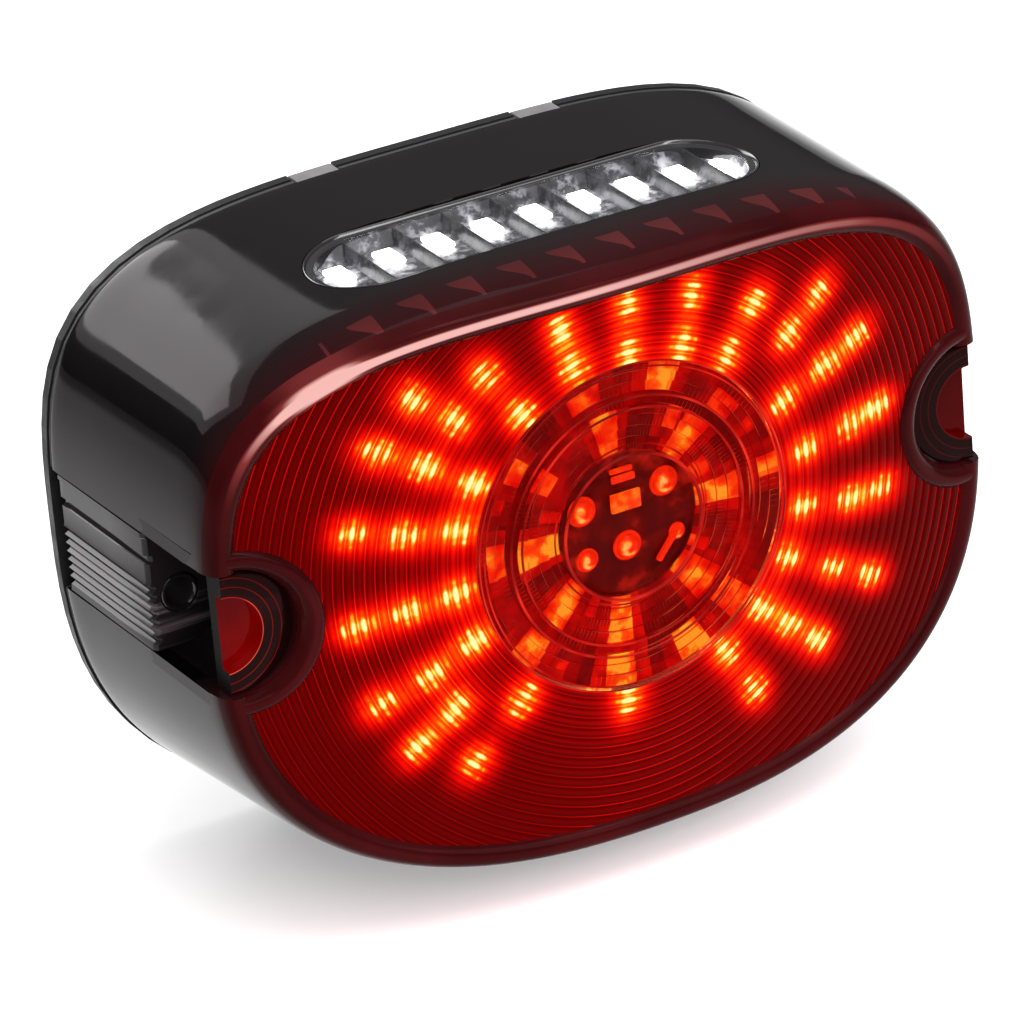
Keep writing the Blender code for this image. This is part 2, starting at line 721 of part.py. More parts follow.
def make_plate_lamp():
    """The strip of white LEDs under the window, and the frame that parts them into cells."""
    base = plate_board_base()
    end = WINDOW_HALF_LENGTH - 1 * MM
    profile = bumpy_profile(-end, end, plate_led_places(), PLATE_BOARD, PLATE_LED_RISE, PLATE_LED_SIZE)
    half = PLATE_LED_SIZE / 2
    rings = [[(x, -WINDOW_DEPTH + side * half, base + z) for x, z in profile] for side in (-1, 1)]
    loft("plate_led_strip", rings, "white_led", smooth=False)
    top = base + CELL_HEIGHT
    half_width = WINDOW_HALF_WIDTH - 2 * MM
    low_corner = (-end, -WINDOW_DEPTH - half_width, base)
    frame = box("plate_cell_frame", low_corner, (end, -WINDOW_DEPTH + half_width, top), "chrome")
    for number, x in enumerate(plate_led_places(), 1):
        reach = PLATE_LED_PITCH / 2 - CELL_WALL / 2
        room = half_width - CELL_WALL
        low_corner = (x - reach, -WINDOW_DEPTH - room, base + PLATE_BOARD + 0.5 * MM)
        high_corner = (x + reach, -WINDOW_DEPTH + room, top + MM)
        cut(frame, box(f"cell_{number}", low_corner, high_corner, "chrome"))
    channel = half + GAP
    low_corner = (-end - MM, -WINDOW_DEPTH - channel, base - MM)
    high_corner = (end + MM, -WINDOW_DEPTH + channel, base + PLATE_BOARD + PLATE_LED_RISE + GAP)
    cut(frame, box("strip_channel", low_corner, high_corner, "chrome"))


# Base plate and what it carries

def make_rear_housing():
    outline = outline_at(0.0)
    housing = prism("rear_housing", outline, 0, -PLATE, "black_plastic")
    spigot_inset = WALL + GAP
    spigot_end = PLATE + SPIGOT_HEIGHT
    rings = [
        flat_ring(-0.5 * PLATE, spigot_inset),
        flat_ring(-spigot_end, spigot_inset),
        flat_ring(-spigot_end, spigot_inset + SPIGOT_WALL),
        flat_ring(-0.5 * PLATE, spigot_inset + SPIGOT_WALL),
    ]
    join(housing, hoop("spigot", rings, "black_plastic"))
    shelf_top = plate_board_base() - GAP
    shelf_end = WINDOW_DEPTH + WINDOW_HALF_WIDTH
    shelf_half = WINDOW_HALF_LENGTH - 2 * MM
    low_corner = (-shelf_half, -shelf_end, shelf_top - SHELF)
    join(housing, box("shelf", low_corner, (shelf_half, -0.5 * PLATE, shelf_top), "black_plastic"))
    for number, (x, z) in enumerate(board_posts(), 1):
        post = circle(x, z, POST_RADIUS, 24)
        join(housing, prism(f"post_{number}", post, -0.5 * PLATE, -BOARD_DEPTH + GAP, "black_plastic"))
    for number, (x, z) in enumerate(board_posts(), 1):
        hole = circle(x, z, POST_HOLE_RADIUS, 16)
        bottom = -BOARD_DEPTH + POST_HOLE_DEPTH
        cut(housing, prism(f"post_hole_{number}", hole, bottom, -DEPTH, "black_plastic"))
    for word, side in SIDES:
        channel = notch_outline(side, POCKET_WALL + GAP)
        cut(housing, prism(f"spigot_notch_{word}", channel, -PLATE, -DEPTH, "black_plastic"))
        hole = circle(screw_x(side), SCREW_Z, SCREW_HOLE_RADIUS, 24)
        cut(housing, prism(f"screw_hole_{word}", hole, MM, -PLATE - MM, "black_plastic"))
    half_width = SOCKET_WIDTH / 2 + GAP
    half_height = SOCKET_HEIGHT / 2 + GAP
    low_corner = (-half_width, -PLATE - MM, SOCKET_Z - half_height)
    high_corner = (half_width, MM, SOCKET_Z + half_height)
    cut(housing, box("socket_hole", low_corner, high_corner, "black_plastic"))
    vent = circle(*VENT_PLACE, VENT_RADIUS + GAP, 24)
    cut(housing, prism("vent_hole", vent, MM, -PLATE - MM, "black_plastic"))
    cut(housing, *tab_cutters("housing"))


def make_gasket():
    """The rubber seal between the base plate and the lens body's rear edge."""
    front = -(PLATE + GAP + GASKET)
    back = -(PLATE + GAP)
    rings = [
        flat_ring(back, GASKET_INSET),
        flat_ring(front, GASKET_INSET),
        flat_ring(front, WALL - GASKET_INSET),
        flat_ring(back, WALL - GASKET_INSET),
    ]
    gasket = hoop("housing_gasket", rings, "black_rubber", smooth=False)
    join_pocket_gasket(gasket, back, front)
    cut(gasket, *tab_cutters("gasket"))


def join_pocket_gasket(gasket, back, front):
    """Carries the seal round each side pocket's wall."""
    for word, side in SIDES:
        outside = notch_outline(side, POCKET_WALL - GASKET_INSET)
        rim = prism(f"gasket_rim_{word}", outside, back, front, "black_rubber")
        inset = outline_at(0.0, 2 * GAP)
        limit = prism(f"gasket_limit_{word}", inset, back + MM, front - MM, "black_rubber")
        boolean(rim, hide_helper(limit), "INTERSECT")
        join(gasket, rim)
    for word, side in SIDES:
        inside = notch_outline(side, GASKET_INSET)
        cut(gasket, prism(f"gasket_notch_{word}", inside, MM, -DEPTH, "black_rubber"))


def make_pocket_shelves():
    """The half-round recess near the front of each pocket, cut off straight towards the side."""
    floor = -DEPTH + SHELF_SETBACK
    far = BACK_HALF_WIDTH - SHELF_EDGE
    for word, side in SIDES:
        name = f"pocket_shelf_{word}"
        outline = notch_outline(side, -GAP)
        front = floor - SHELF_RIM
        shelf = prism(name, outline, floor + SHELF_THICKNESS, front, "black_plastic")
        recess = circle(side * far, POCKET_Z, SHELF_RECESS_RADIUS, 40)
        cut(shelf, prism(f"shelf_recess_{word}", recess, floor, front - MM, "black_plastic"))
        low, high = sorted((side * far, side * 2 * BACK_HALF_WIDTH))
        reach = 2 * POCKET_RADIUS
        low_corner = (low, -2 * DEPTH, POCKET_Z - reach)
        cut(shelf, box(f"shelf_trim_{word}", low_corner, (high, 0, POCKET_Z + reach), "black_plastic"))


def make_threaded_sleeves():
    """The sleeve in each ribbed block that takes a mounting screw from behind."""
    for word, side in SIDES:
        x = screw_x(side)
        front = -(DEPTH - SIDE_BLOCK_SETBACK)
        tube = circle(x, SCREW_Z, SLEEVE_RADIUS, 32)
        sleeve = prism(f"threaded_sleeve_{word}", tube, -PLATE - GAP, front, "steel")
        bore = circle(x, SCREW_Z, SLEEVE_BORE_RADIUS, 24)
        cut(sleeve, prism(f"sleeve_bore_{word}", bore, MM, front - MM, "steel"))


def side_block_outline(side, share):
    """The pocket's U, closed by an outer edge whose lower part is ribbed."""
    radius = POCKET_RADIUS - GAP
    centre = POCKET_DEEPEST + POCKET_RADIUS
    made = []
    for i in range(17):
        turn = -math.pi / 2 - math.pi * i / 16
        made.append((side * (centre + radius * math.cos(turn)), POCKET_Z + radius * math.sin(turn)))
    start = RIB_TOP * radius
    edge = [(radius, 0), (start, 0)]
    pitch = RIB_SPAN * radius / (2 * RIB_COUNT)
    edge += [(start - pitch * (i + 1), (i % 2 == 0) * RIB_HEIGHT) for i in range(2 * RIB_COUNT)]
    edge.append((-radius, 0))
    for z, depth in edge:
        height = POCKET_Z + z
        made.append((side * (wall_x(height, share) - GAP - depth), height))
    return made


def make_side_blocks():
    """The clear ribbed block that fills the rear of each pocket, round the screw sleeve."""
    for word, side in SIDES:
        front = -(DEPTH - SIDE_BLOCK_SETBACK)
        back = -SIDE_BLOCK_BACK
        rings = [[(x, y, z) for x, z in side_block_outline(side, -y / DEPTH)] for y in (front, back)]
        block = loft(f"side_block_{word}", rings, "clear_lens", smooth=False)
        hole = circle(screw_x(side), SCREW_Z, SLEEVE_RADIUS + GAP, 32)
        cut(block, prism(f"block_hole_{word}", hole, front - MM, MM, "clear_lens"))


def make_connector():
    """The open socket for the lead's plug, with a flange behind the base plate and four contact pins."""
    half_width = SOCKET_WIDTH / 2
    half_height = SOCKET_HEIGHT / 2
    low_corner = (-half_width, -SOCKET_LENGTH, SOCKET_Z - half_height)
    socket = box("connector_socket", low_corner, (half_width, 0, SOCKET_Z + half_height), "black_plastic")
    wide = half_width + SOCKET_FLANGE
    high = half_height + SOCKET_FLANGE
    seat = -PLATE - GAP
    low_corner = (-wide, seat - SOCKET_FLANGE, SOCKET_Z - high)
    join(socket, box("socket_flange", low_corner, (wide, seat, SOCKET_Z + high), "black_plastic"))
    inner_width = half_width - SOCKET_WALL
    inner_height = half_height - SOCKET_WALL
    low_corner = (-inner_width, SOCKET_FLOOR - SOCKET_LENGTH, SOCKET_Z - inner_height)
    high_corner = (inner_width, MM, SOCKET_Z + inner_height)
    cut(socket, box("socket_cavity", low_corner, high_corner, "black_plastic"))
    half_pin = PIN_SIZE / 2
    reach = half_pin + PIN_CLEARANCE
    for number in range(PIN_COUNT):
        x = (number - (PIN_COUNT - 1) / 2) * PIN_PITCH
        low_corner = (x - reach, -SOCKET_LENGTH - MM, SOCKET_Z - reach)
        high_corner = (x + reach, -SOCKET_LENGTH + SOCKET_FLOOR + MM, SOCKET_Z + reach)
        cut(socket, box(f"pin_hole_{number}", low_corner, high_corner, "black_plastic"))
        low_corner = (x - half_pin, -SOCKET_LENGTH - PIN_TAIL, SOCKET_Z - half_pin)
        high_corner = (x + half_pin, -PIN_RECESS, SOCKET_Z + half_pin)
        box(f"contact_pin_{number + 1}", low_corner, high_corner, "gold_contact")


def make_ribbon_cable():
    """The flat lead from the connector's pins to the back of the main board, with a slack bend."""
    start = Vector((0, -SOCKET_LENGTH - PIN_TAIL - GAP, SOCKET_Z))
    end = Vector((0, -BOARD_DEPTH + GAP, SOCKET_Z + CABLE_CLIMB))
    steps = 20
    route = []
    for i in range(steps + 1):
        share = i / steps
        rise = share * share * (3 - 2 * share)
        sag = CABLE_SLACK * math.sin(math.pi * share) ** 2
        route.append(Vector((0, mix(start.y, end.y, share), mix(start.z, end.z, rise) - sag)))
    rings = []
    for i, point in enumerate(route):
        along = (route[min(i + 1, steps)] - route[max(i - 1, 0)]).normalized()
        if i in (0, steps):
            along = Vector((0, -1, 0))
        up = Vector((0, -along.z, along.y)) * CABLE_THICKNESS / 2
        aside = Vector((CABLE_WIDTH / 2, 0, 0))
        rings.append([point - aside - up, point + aside - up, point + aside + up, point - aside + up])
    loft("ribbon_cable", rings, "component")


def make_vent():
    x, z = VENT_PLACE
    rings = []
    for radius, y in (
        (VENT_RADIUS, 0),
        (VENT_RADIUS, -PLATE - GAP),
        (VENT_RADIUS + 1.2 * MM, -PLATE - GAP),
        (VENT_RADIUS + 1.2 * MM, -PLATE - GAP - 1.2 * MM),
    ):
        rings.append([(a, y, b) for a, b in circle(x, z, radius, 24)])
    loft("vent_plug", rings, "black_rubber", smooth=False)


def make_snap_tabs():
    """Two clear tabs that close the rear edge of the top wall over the base plate."""
    half = TAB_WIDTH / 2
    for word, side in SIDES:
        low_corner = (side * TAB_X - half, -TAB_LENGTH, TOP - TAB_THICKNESS)
        high_corner = (side * TAB_X + half, -0.2 * MM, TOP + 1 * MM)
        tab = box(f"snap_tab_{word}", low_corner, high_corner, "clear_lens")
        rings = [flat_ring(y, 0.1 * MM) for y in (MM, -2 * TAB_LENGTH)]
        limit = loft(f"tab_limit_{word}", rings, "clear_lens")
        boolean(tab, hide_helper(limit), "INTERSECT")


def main():
    for old in list(bpy.data.objects):
        bpy.data.objects.remove(old)
    make_lens_body()
    make_lens_face()
    make_centre_lens()
    make_reflector()
    make_main_board()
    make_led_strips()
    make_centre_cluster()
    make_driver()
    make_window()
    make_plate_lamp()
    make_rear_housing()
    make_gasket()
    make_pocket_shelves()
    make_threaded_sleeves()
    make_side_blocks()
    make_connector()
    make_ribbon_cable()
    make_vent()
    make_snap_tabs()


main()
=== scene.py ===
"""Looks of the motorcycle tail light: smoked shell, ridged lit face, stepped centre lens and plate lamp.

Shapes are worked out in millimetres in the frame of the CAD model and turned into metres in add_mesh.
"""

import json
import math
import random

import bmesh
import bpy
import numpy as np
from mathutils import Matrix, Vector


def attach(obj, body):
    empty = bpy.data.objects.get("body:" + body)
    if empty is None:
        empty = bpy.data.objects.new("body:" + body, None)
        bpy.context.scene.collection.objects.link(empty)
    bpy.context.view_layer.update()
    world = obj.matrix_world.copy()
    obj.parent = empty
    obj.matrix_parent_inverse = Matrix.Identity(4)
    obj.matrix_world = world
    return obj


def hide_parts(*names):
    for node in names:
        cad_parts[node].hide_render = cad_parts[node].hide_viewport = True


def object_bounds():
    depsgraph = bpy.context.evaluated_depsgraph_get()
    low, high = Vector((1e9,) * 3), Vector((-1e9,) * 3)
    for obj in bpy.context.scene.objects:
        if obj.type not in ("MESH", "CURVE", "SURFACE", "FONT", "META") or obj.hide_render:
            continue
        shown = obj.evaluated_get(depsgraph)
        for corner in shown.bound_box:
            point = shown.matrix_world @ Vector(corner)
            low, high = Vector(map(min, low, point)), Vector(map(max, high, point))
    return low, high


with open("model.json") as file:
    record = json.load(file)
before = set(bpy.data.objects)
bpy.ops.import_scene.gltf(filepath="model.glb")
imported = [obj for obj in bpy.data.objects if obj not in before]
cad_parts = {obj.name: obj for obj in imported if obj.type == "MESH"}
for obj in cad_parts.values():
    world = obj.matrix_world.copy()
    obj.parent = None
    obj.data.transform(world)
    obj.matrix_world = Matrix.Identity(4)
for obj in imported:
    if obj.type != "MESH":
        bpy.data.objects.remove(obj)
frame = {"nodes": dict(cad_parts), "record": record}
cad_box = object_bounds()

MM = 0.001

# Shape of the lamp, as in the CAD model
DEPTH = 58.0
FACE_SAG = 8.0
BACK_HALF_WIDTH = 67.2
FRONT_HALF_WIDTH = 65.3
TOP = 43.2
BACK_BOTTOM = -57.6
FRONT_BOTTOM = -50.3
MIDDLE_Z = -2.9
TOP_POWER = 3.65
BOTTOM_POWER = 2.6
WALL = 2.4
LIP = 4.4
BEAD_SHARE = 0.972  # share of the depth at which the bead begins
BEAD_RISE = 0.9
# Place of the painted highlight spot on the bead
BEAD_HIGHLIGHT_SPOT = (46.5, 36.0)  # where the bead catches the main light, as a distance to the left and a height
SHOULDER_DROP = 2.4
REAR_EDGE = 3.2
POCKET_RADIUS = 9.8
POCKET_Z = -1.0
POCKET_CENTRE = 61.9
SCREW_X = 61.0
SCREW_Z = -2.2
SHELF_FLOOR = 48.5
SHELF_THICKNESS = 2.4
SHELF_RIM = 2.0
SHELF_EDGE = 63.3
RECESS_RADIUS = 5.9
SLEEVE_RADIUS = 3.1
SLEEVE_BORE_RADIUS = 2.1
BLOCK_BACK = 4.4
BLOCK_FRONT = 31.0
WINDOW_DEPTH = 34.6
WINDOW_HALF_LENGTH = 37.0
WINDOW_HALF_WIDTH = 10.2
LED_PITCH = 8.15
WINDOW_STEPS = 40  # points round each end of the window
TRAY_DROP = 2.9
LED_SHIFT = (1.6, 2.4)  # how far the lamps stand from the middle of their cells
CENTRE_RADIUS = 11.4
OUTER_RING_RADIUS = 25.6

RIDGE_PITCH = 1.58
RIDGE_HEIGHT = 0.16
# Each row of red LEDs: its direction in degrees from +X, and its LEDs' distances from the centre
LED_ROWS = (
    (88, 27.6, 35.5), (69, 27.9, 36.0), (51, 28.4, 37.0), (37, 36.4, 44.0), (23, 29.6, 38.0, 45.0),
    (6, 30.8, 39.4, 45.0), (-11, 30.4, 39.0, 45.2), (-27, 29.4, 38.8, 46.8), (-43, 28.6, 35.4, 42.0),
    (-60, 28.6, 37.4), (-96, 27.6), (-133, 30.0, 41.4), (-146, 37.0, 44.6), (-158, 29.0, 36.8, 45.0),
    (-175, 29.0, 37.0, 44.4), (166, 29.0, 37.0, 45.0), (150, 28.4, 36.8, 45.0), (138, 36.4, 44.0),
    (126, 28.2, 37.2), (106, 28.4, 35.2),
)
# Lit facets of the stepped reflector: direction, half-width in degrees, first and last radius, brightness
FACETS = (
    (72, 5.5, 20.8, 24.8, 0.85), (105, 6.5, 20.8, 24.2, 0.62), (143, 6.0, 20.8, 24.2, 0.75),
    (156, 3.0, 21.5, 24.2, 0.35), (179, 6.5, 20.8, 24.2, 0.72), (-140, 6.5, 20.8, 25.2, 0.8),
    (-125, 4.0, 22.0, 25.2, 0.4), (-98, 6.0, 20.8, 25.6, 1.0), (-68, 6.5, 20.8, 25.2, 0.95),
    (-46, 6.5, 20.8, 25.2, 0.7), (6, 5.0, 21.5, 24.8, 0.7), (25, 3.5, 21.0, 24.0, 0.35),
    (40, 6.0, 20.8, 24.2, 0.55), (99, 8.0, 12.4, 18.4, 0.8), (60, 5.0, 14.4, 18.4, 0.65),
    (46, 8.0, 12.4, 18.0, 0.8), (22, 6.0, 12.4, 16.0, 0.5), (3, 7.5, 12.4, 18.4, 0.9),
    (142, 6.0, 14.4, 18.4, 0.6), (160, 5.0, 12.4, 16.0, 0.45), (180, 8.0, 12.4, 18.4, 0.92),
    (-140, 9.0, 12.4, 18.4, 0.8), (-120, 4.0, 12.4, 15.0, 0.45), (-99, 8.0, 12.0, 18.8, 1.0),
    (-47, 9.0, 12.0, 18.4, 0.75), (-30, 4.0, 12.0, 14.4, 0.6),
)
# The cluster's parts stand lower than the disc, so they are moved to look as far from its edge
SINK = (1.1, -1.0)
# Each dome's x, z and radius
DOMES = ((-8.3, 4.7, 1.9), (5.6, 5.6, 1.9), (-1.2, -2.8, 1.9), (-8.0, -3.2, 1.5), (7.2, -3.0, 1.1))

SIDES = (("left", -1), ("right", 1))


# Shape helpers

def mix(first, second, share):
    return first + (second - first) * share


def outline(turns, share, inset=0.0, drop=0.0):
    """x and z of the outline at the given turns, from the mounting face (share 0) to the lens face (1)."""
    x, z = np.cos(turns), np.sin(turns)
    half_width = mix(BACK_HALF_WIDTH, FRONT_HALF_WIDTH, share) - inset
    up = TOP - MIDDLE_Z - inset - drop
    down = MIDDLE_Z - mix(BACK_BOTTOM, FRONT_BOTTOM, share) - inset
    height = np.where(z >= 0, up, down)
    power = np.where(z >= 0, TOP_POWER, BOTTOM_POWER)
    reach = (np.abs(x / half_width) ** power + np.abs(z / height) ** power) ** (-1 / power)
    return x * reach, MIDDLE_Z + z * reach


def face_y(x):
    return -DEPTH + FACE_SAG * (x / FRONT_HALF_WIDTH) ** 2


def wall_x(z, share):
    """Distance from the middle plane to the lamp's side at this height."""
    half_width = mix(BACK_HALF_WIDTH, FRONT_HALF_WIDTH, share)
    if z >= MIDDLE_Z:
        height, power = TOP - MIDDLE_Z, TOP_POWER
    else:
        height, power = MIDDLE_Z - mix(BACK_BOTTOM, FRONT_BOTTOM, share), BOTTOM_POWER
    return half_width * (1 - abs((z - MIDDLE_Z) / height) ** power) ** (1 / power)


def top_z(x, y):
    half_width = mix(BACK_HALF_WIDTH, FRONT_HALF_WIDTH, -y / DEPTH)
    return MIDDLE_Z + (TOP - MIDDLE_Z) * (1 - abs(x / half_width) ** TOP_POWER) ** (1 / TOP_POWER)


def spline(points, steps):
    """A smooth curve through rows of numbers, as many steps between each two."""
    points = np.array(points, float)
    padded = np.vstack([2 * points[0] - points[1], points, 2 * points[-1] - points[-2]])
    made = []
    for i in range(1, len(padded) - 2):
        a, b, c, d = padded[i - 1 : i + 3]
        for k in range(steps):
            t = k / steps
            bend = (2 * a - 5 * b + 4 * c - d) * t ** 2 + (3 * b - a - 3 * c + d) * t ** 3
            made.append(0.5 * (2 * b + (c - a) * t + bend))
    made.append(points[-1])
    return np.array(made)


def linked(name, data):
    made = bpy.data.objects.new(name, data)
    bpy.context.scene.collection.objects.link(made)
    return made


def add_mesh(name, points, faces, material, sharp=40):
    """A mesh object from points in millimetres."""
    mesh = bpy.data.meshes.new(name)
    mesh.from_pydata((np.asarray(points, float) * MM).tolist(), [], faces)
    mesh.update()
    made = linked(name, mesh)
    if sharp is not None:
        smooth(made, sharp)
    if material is not None:
        mesh.materials.append(material)
    return made


def turned_out(made):
    """The same object with its faces turned outwards."""
    bm = bmesh.new()
    bm.from_mesh(made.data)
    bmesh.ops.recalc_face_normals(bm, faces=bm.faces)
    bm.to_mesh(made.data)
    bm.free()
    return made


def finish_piece(made, slot, *replaced, turn=True):
    if turn:
        turned_out(made)
    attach(made, "root")
    if replaced:
        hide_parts(*replaced)


def smooth(made, sharp):
    made.data.shade_smooth()
    made.data.set_sharp_from_angle(angle=math.radians(sharp))


def points_of(made):
    """An object's points in millimetres, one row each."""
    rows = np.empty(len(made.data.vertices) * 3)
    made.data.vertices.foreach_get("co", rows)
    return rows.reshape(-1, 3) / MM


def set_values(made, name, values, domain="POINT"):
    """Numbers kept in the mesh for a material to read."""
    layer = made.data.attributes.new(name, "FLOAT", domain)
    layer.data.foreach_set("value", np.asarray(values, np.float32))


def circle(x, z, radius, steps):
    turns = np.linspace(0, 2 * math.pi, steps, endpoint=False)
    return [(x + radius * math.cos(t), z + radius * math.sin(t)) for t in turns]


def pocket_arc(radius, steps):
    """Points (x, z) of the half circle on the pocket's inner side, from the lowest to the highest."""
    turns = [-math.pi / 2 - math.pi * i / steps for i in range(steps + 1)]
    return [(POCKET_CENTRE + radius * math.cos(t), POCKET_Z + radius * math.sin(t)) for t in turns]


def grid_faces(rows, columns, close_rows=False, close_columns=True):
    faces = []
    for i in range(rows if close_rows else rows - 1):
        k = (i + 1) % rows
        for j in range(columns if close_columns else columns - 1):
            m = (j + 1) % columns
            faces.append((i * columns + j, i * columns + m, k * columns + m, k * columns + j))
    return faces


def capped_faces(rows, columns):
    """The sides and both ends of a solid made of loops of points."""
    last = (rows - 1) * columns
    return grid_faces(rows, columns) + [tuple(range(columns)), tuple(range(last, last + columns))]


def lathe(name, profile, material, segments=160, closed=True, caps=(), sharp=40, centre=(0.0, 0.0)):
    """A piece turned about the lens axis from (radius, y) points."""
    turns = np.arange(segments) * 2 * math.pi / segments
    points = []
    for radius, y in profile:
        for turn in turns:
            points.append((centre[0] + radius * math.cos(turn), y, centre[1] + radius * math.sin(turn)))
    faces = grid_faces(len(profile), segments, close_rows=closed)
    for row in caps:
        row %= len(profile)
        faces.append(tuple(range(row * segments, (row + 1) * segments)))
    return add_mesh(name, points, faces, material, sharp=sharp)


def rounded_box(name, low, high, material, bevel):
    centre = [(a + b) / 2 for a, b in zip(low, high)]
    size = [b - a for a, b in zip(low, high)]
    bm = bmesh.new()
    bmesh.ops.create_cube(bm, size=1)
    for vertex in bm.verts:
        vertex.co = Vector([c + v * s for c, v, s in zip(centre, vertex.co, size)])
    bmesh.ops.bevel(bm, geom=bm.edges[:], offset=bevel, segments=2, profile=0.5, affect="EDGES")
    points = [tuple(v.co) for v in bm.verts]
    faces = [tuple(v.index for v in f.verts) for f in bm.faces]
    bm.free()
    return add_mesh(name, points, faces, material)


def merged(name, pieces):
    """One object from several, with their materials kept."""
    bm = bmesh.new()
    materials = []
    for piece in pieces:
        first = len(bm.faces)
        bm.from_mesh(piece.data)
        bm.faces.ensure_lookup_table()
        slots = list(piece.data.materials)
        materials += [m for m in slots if m not in materials]
        for face in bm.faces[first:]:
            face.material_index = materials.index(slots[face.material_index])
    mesh = bpy.data.meshes.new(name)
    bm.to_mesh(mesh)
    bm.free()
    for m in materials:
        mesh.materials.append(m)
    for piece in pieces:
        bpy.data.objects.remove(piece)
    return linked(name, mesh)


# Materials

def operator(operation):
    return lambda signal, other=0.0: signal.look.math(operation, signal, other)


class Signal:
    """A node's output, which adds, multiplies and compares like a number."""

    __add__ = __radd__ = operator("ADD")
    __sub__ = operator("SUBTRACT")
    __mul__ = __rmul__ = operator("MULTIPLY")
    __truediv__ = operator("DIVIDE")
    __gt__ = operator("GREATER_THAN")
    __lt__ = operator("LESS_THAN")
    __abs__ = operator("ABSOLUTE")

    def __init__(self, look, socket):
        self.look = look
        self.socket = socket

    def __rsub__(self, other):
        return self.look.math("SUBTRACT", other, self)


class Look:
    """A Principled material with short ways to add nodes."""

    def __init__(self, name, **values):
        self.material = bpy.data.materials.new(name)
        self.material.use_nodes = True
        self.tree = self.material.node_tree
        self.shader = self.tree.nodes["Principled BSDF"]
        self.place = Signal(self, self.node("ShaderNodeTexCoord").outputs["Object"])
        self.set(**values)

    def node(self, kind, **settings):
        made = self.tree.nodes.new(kind)
        for key, value in settings.items():
            setattr(made, key, value)
        return made

    def feed(self, socket, value):
        if isinstance(value, Signal):
            self.tree.links.new(value.socket, socket)
        else:
            socket.default_value = value

    def put(self, node, **values):
        """Values for a node's named inputs, with _ for each space in a name."""
        for key, value in values.items():
            self.feed(node.inputs[key.replace("_", " ")], value)

    def set(self, **values):
        self.put(self.shader, **values)

    def math(self, operation, first, second=0.0):
        made = self.node("ShaderNodeMath", operation=operation)
        self.feed(made.inputs[0], first)
        self.feed(made.inputs[1], second)
        return Signal(self, made.outputs[0])

    def length(self, across, up):
        return self.math("SQRT", across * across + up * up)

    def axes(self):
        """Object coordinates in millimetres."""
        split = self.node("ShaderNodeSeparateXYZ")
        self.feed(split.inputs[0], self.place)
        return [Signal(self, socket) * 1000.0 for socket in split.outputs]

    def noise(self, scale, detail=2.0, rough=0.5, place=None):
        made = self.node("ShaderNodeTexNoise")
        self.put(made, Vector=place or self.place, Scale=scale, Detail=detail, Roughness=rough)
        return Signal(self, made.outputs["Fac"])

    def streaks(self, scales):
        """Noise drawn out along the axes with the smaller scales."""
        stretch = self.node("ShaderNodeMapping")
        self.put(stretch, Vector=self.place, Scale=scales)
        return self.noise(1.0, place=Signal(self, stretch.outputs[0]))

    def range(self, value, low, high, first=0.0, second=1.0):
        """A smooth step from first to second as the value goes from low to high."""
        made = self.node("ShaderNodeMapRange", interpolation_type="SMOOTHSTEP")
        for socket, given in zip(made.inputs, (value, low, high, first, second)):
            self.feed(socket, given)
        return Signal(self, made.outputs[0])

    def ramp(self, value, *stops):
        """A colour for each value, from stops of a value, red, green and blue."""
        made = self.node("ShaderNodeValToRGB")
        self.feed(made.inputs[0], value)
        elements = made.color_ramp.elements
        while len(elements) < len(stops):
            elements.new(0.5)
        for element, (place, *colour) in zip(elements, stops):
            element.position = place
            element.color = (*colour, 1)
        return Signal(self, made.outputs["Color"])

    def blend(self, share, first, second):
        made = self.node("ShaderNodeMix", data_type="RGBA")
        for number, value in zip((0, 6, 7), (share, first, second)):
            self.feed(made.inputs[number], (*value, 1) if isinstance(value, tuple) else value)
        return Signal(self, made.outputs[2])

    def uneven(self, smooth, rough, scale, detail=2.0):
        self.set(Roughness=self.range(self.noise(scale, detail), 0.3, 0.7, smooth, rough))

    def attribute(self, name):
        return Signal(self, self.node("ShaderNodeAttribute", attribute_name=name).outputs["Fac"])

    def bump(self, height, strength, distance):
        made = self.node("ShaderNodeBump")
        self.put(made, Height=height, Strength=strength, Distance=distance)
        self.set(Normal=Signal(self, made.outputs[0]))

    def glow(self, level, *stops, strength=1.0):
        """Light of its own. A weak one isn't sampled as a lamp's, which would be slow on a fine mesh."""
        self.set(Emission_Color=self.ramp(level, *stops), Emission_Strength=strength)
        if strength <= 1.0:
            self.material.cycles.emission_sampling = "NONE"
        return self.material


def plain_look(name, first, second, scale, roughness, spread=0.08, bump=0.0, **values):
    """A moulded or metal surface whose colour and roughness vary a little."""
    look = Look(name, **values)
    look.set(Base_Color=look.blend(look.noise(scale, 4.0, 0.6), first, second))
    look.uneven(roughness - spread, roughness + spread, scale * 0.35, 3.0)
    if bump:
        look.bump(look.noise(scale * 2.0, 3.0), bump, 0.0003)
    return look.material


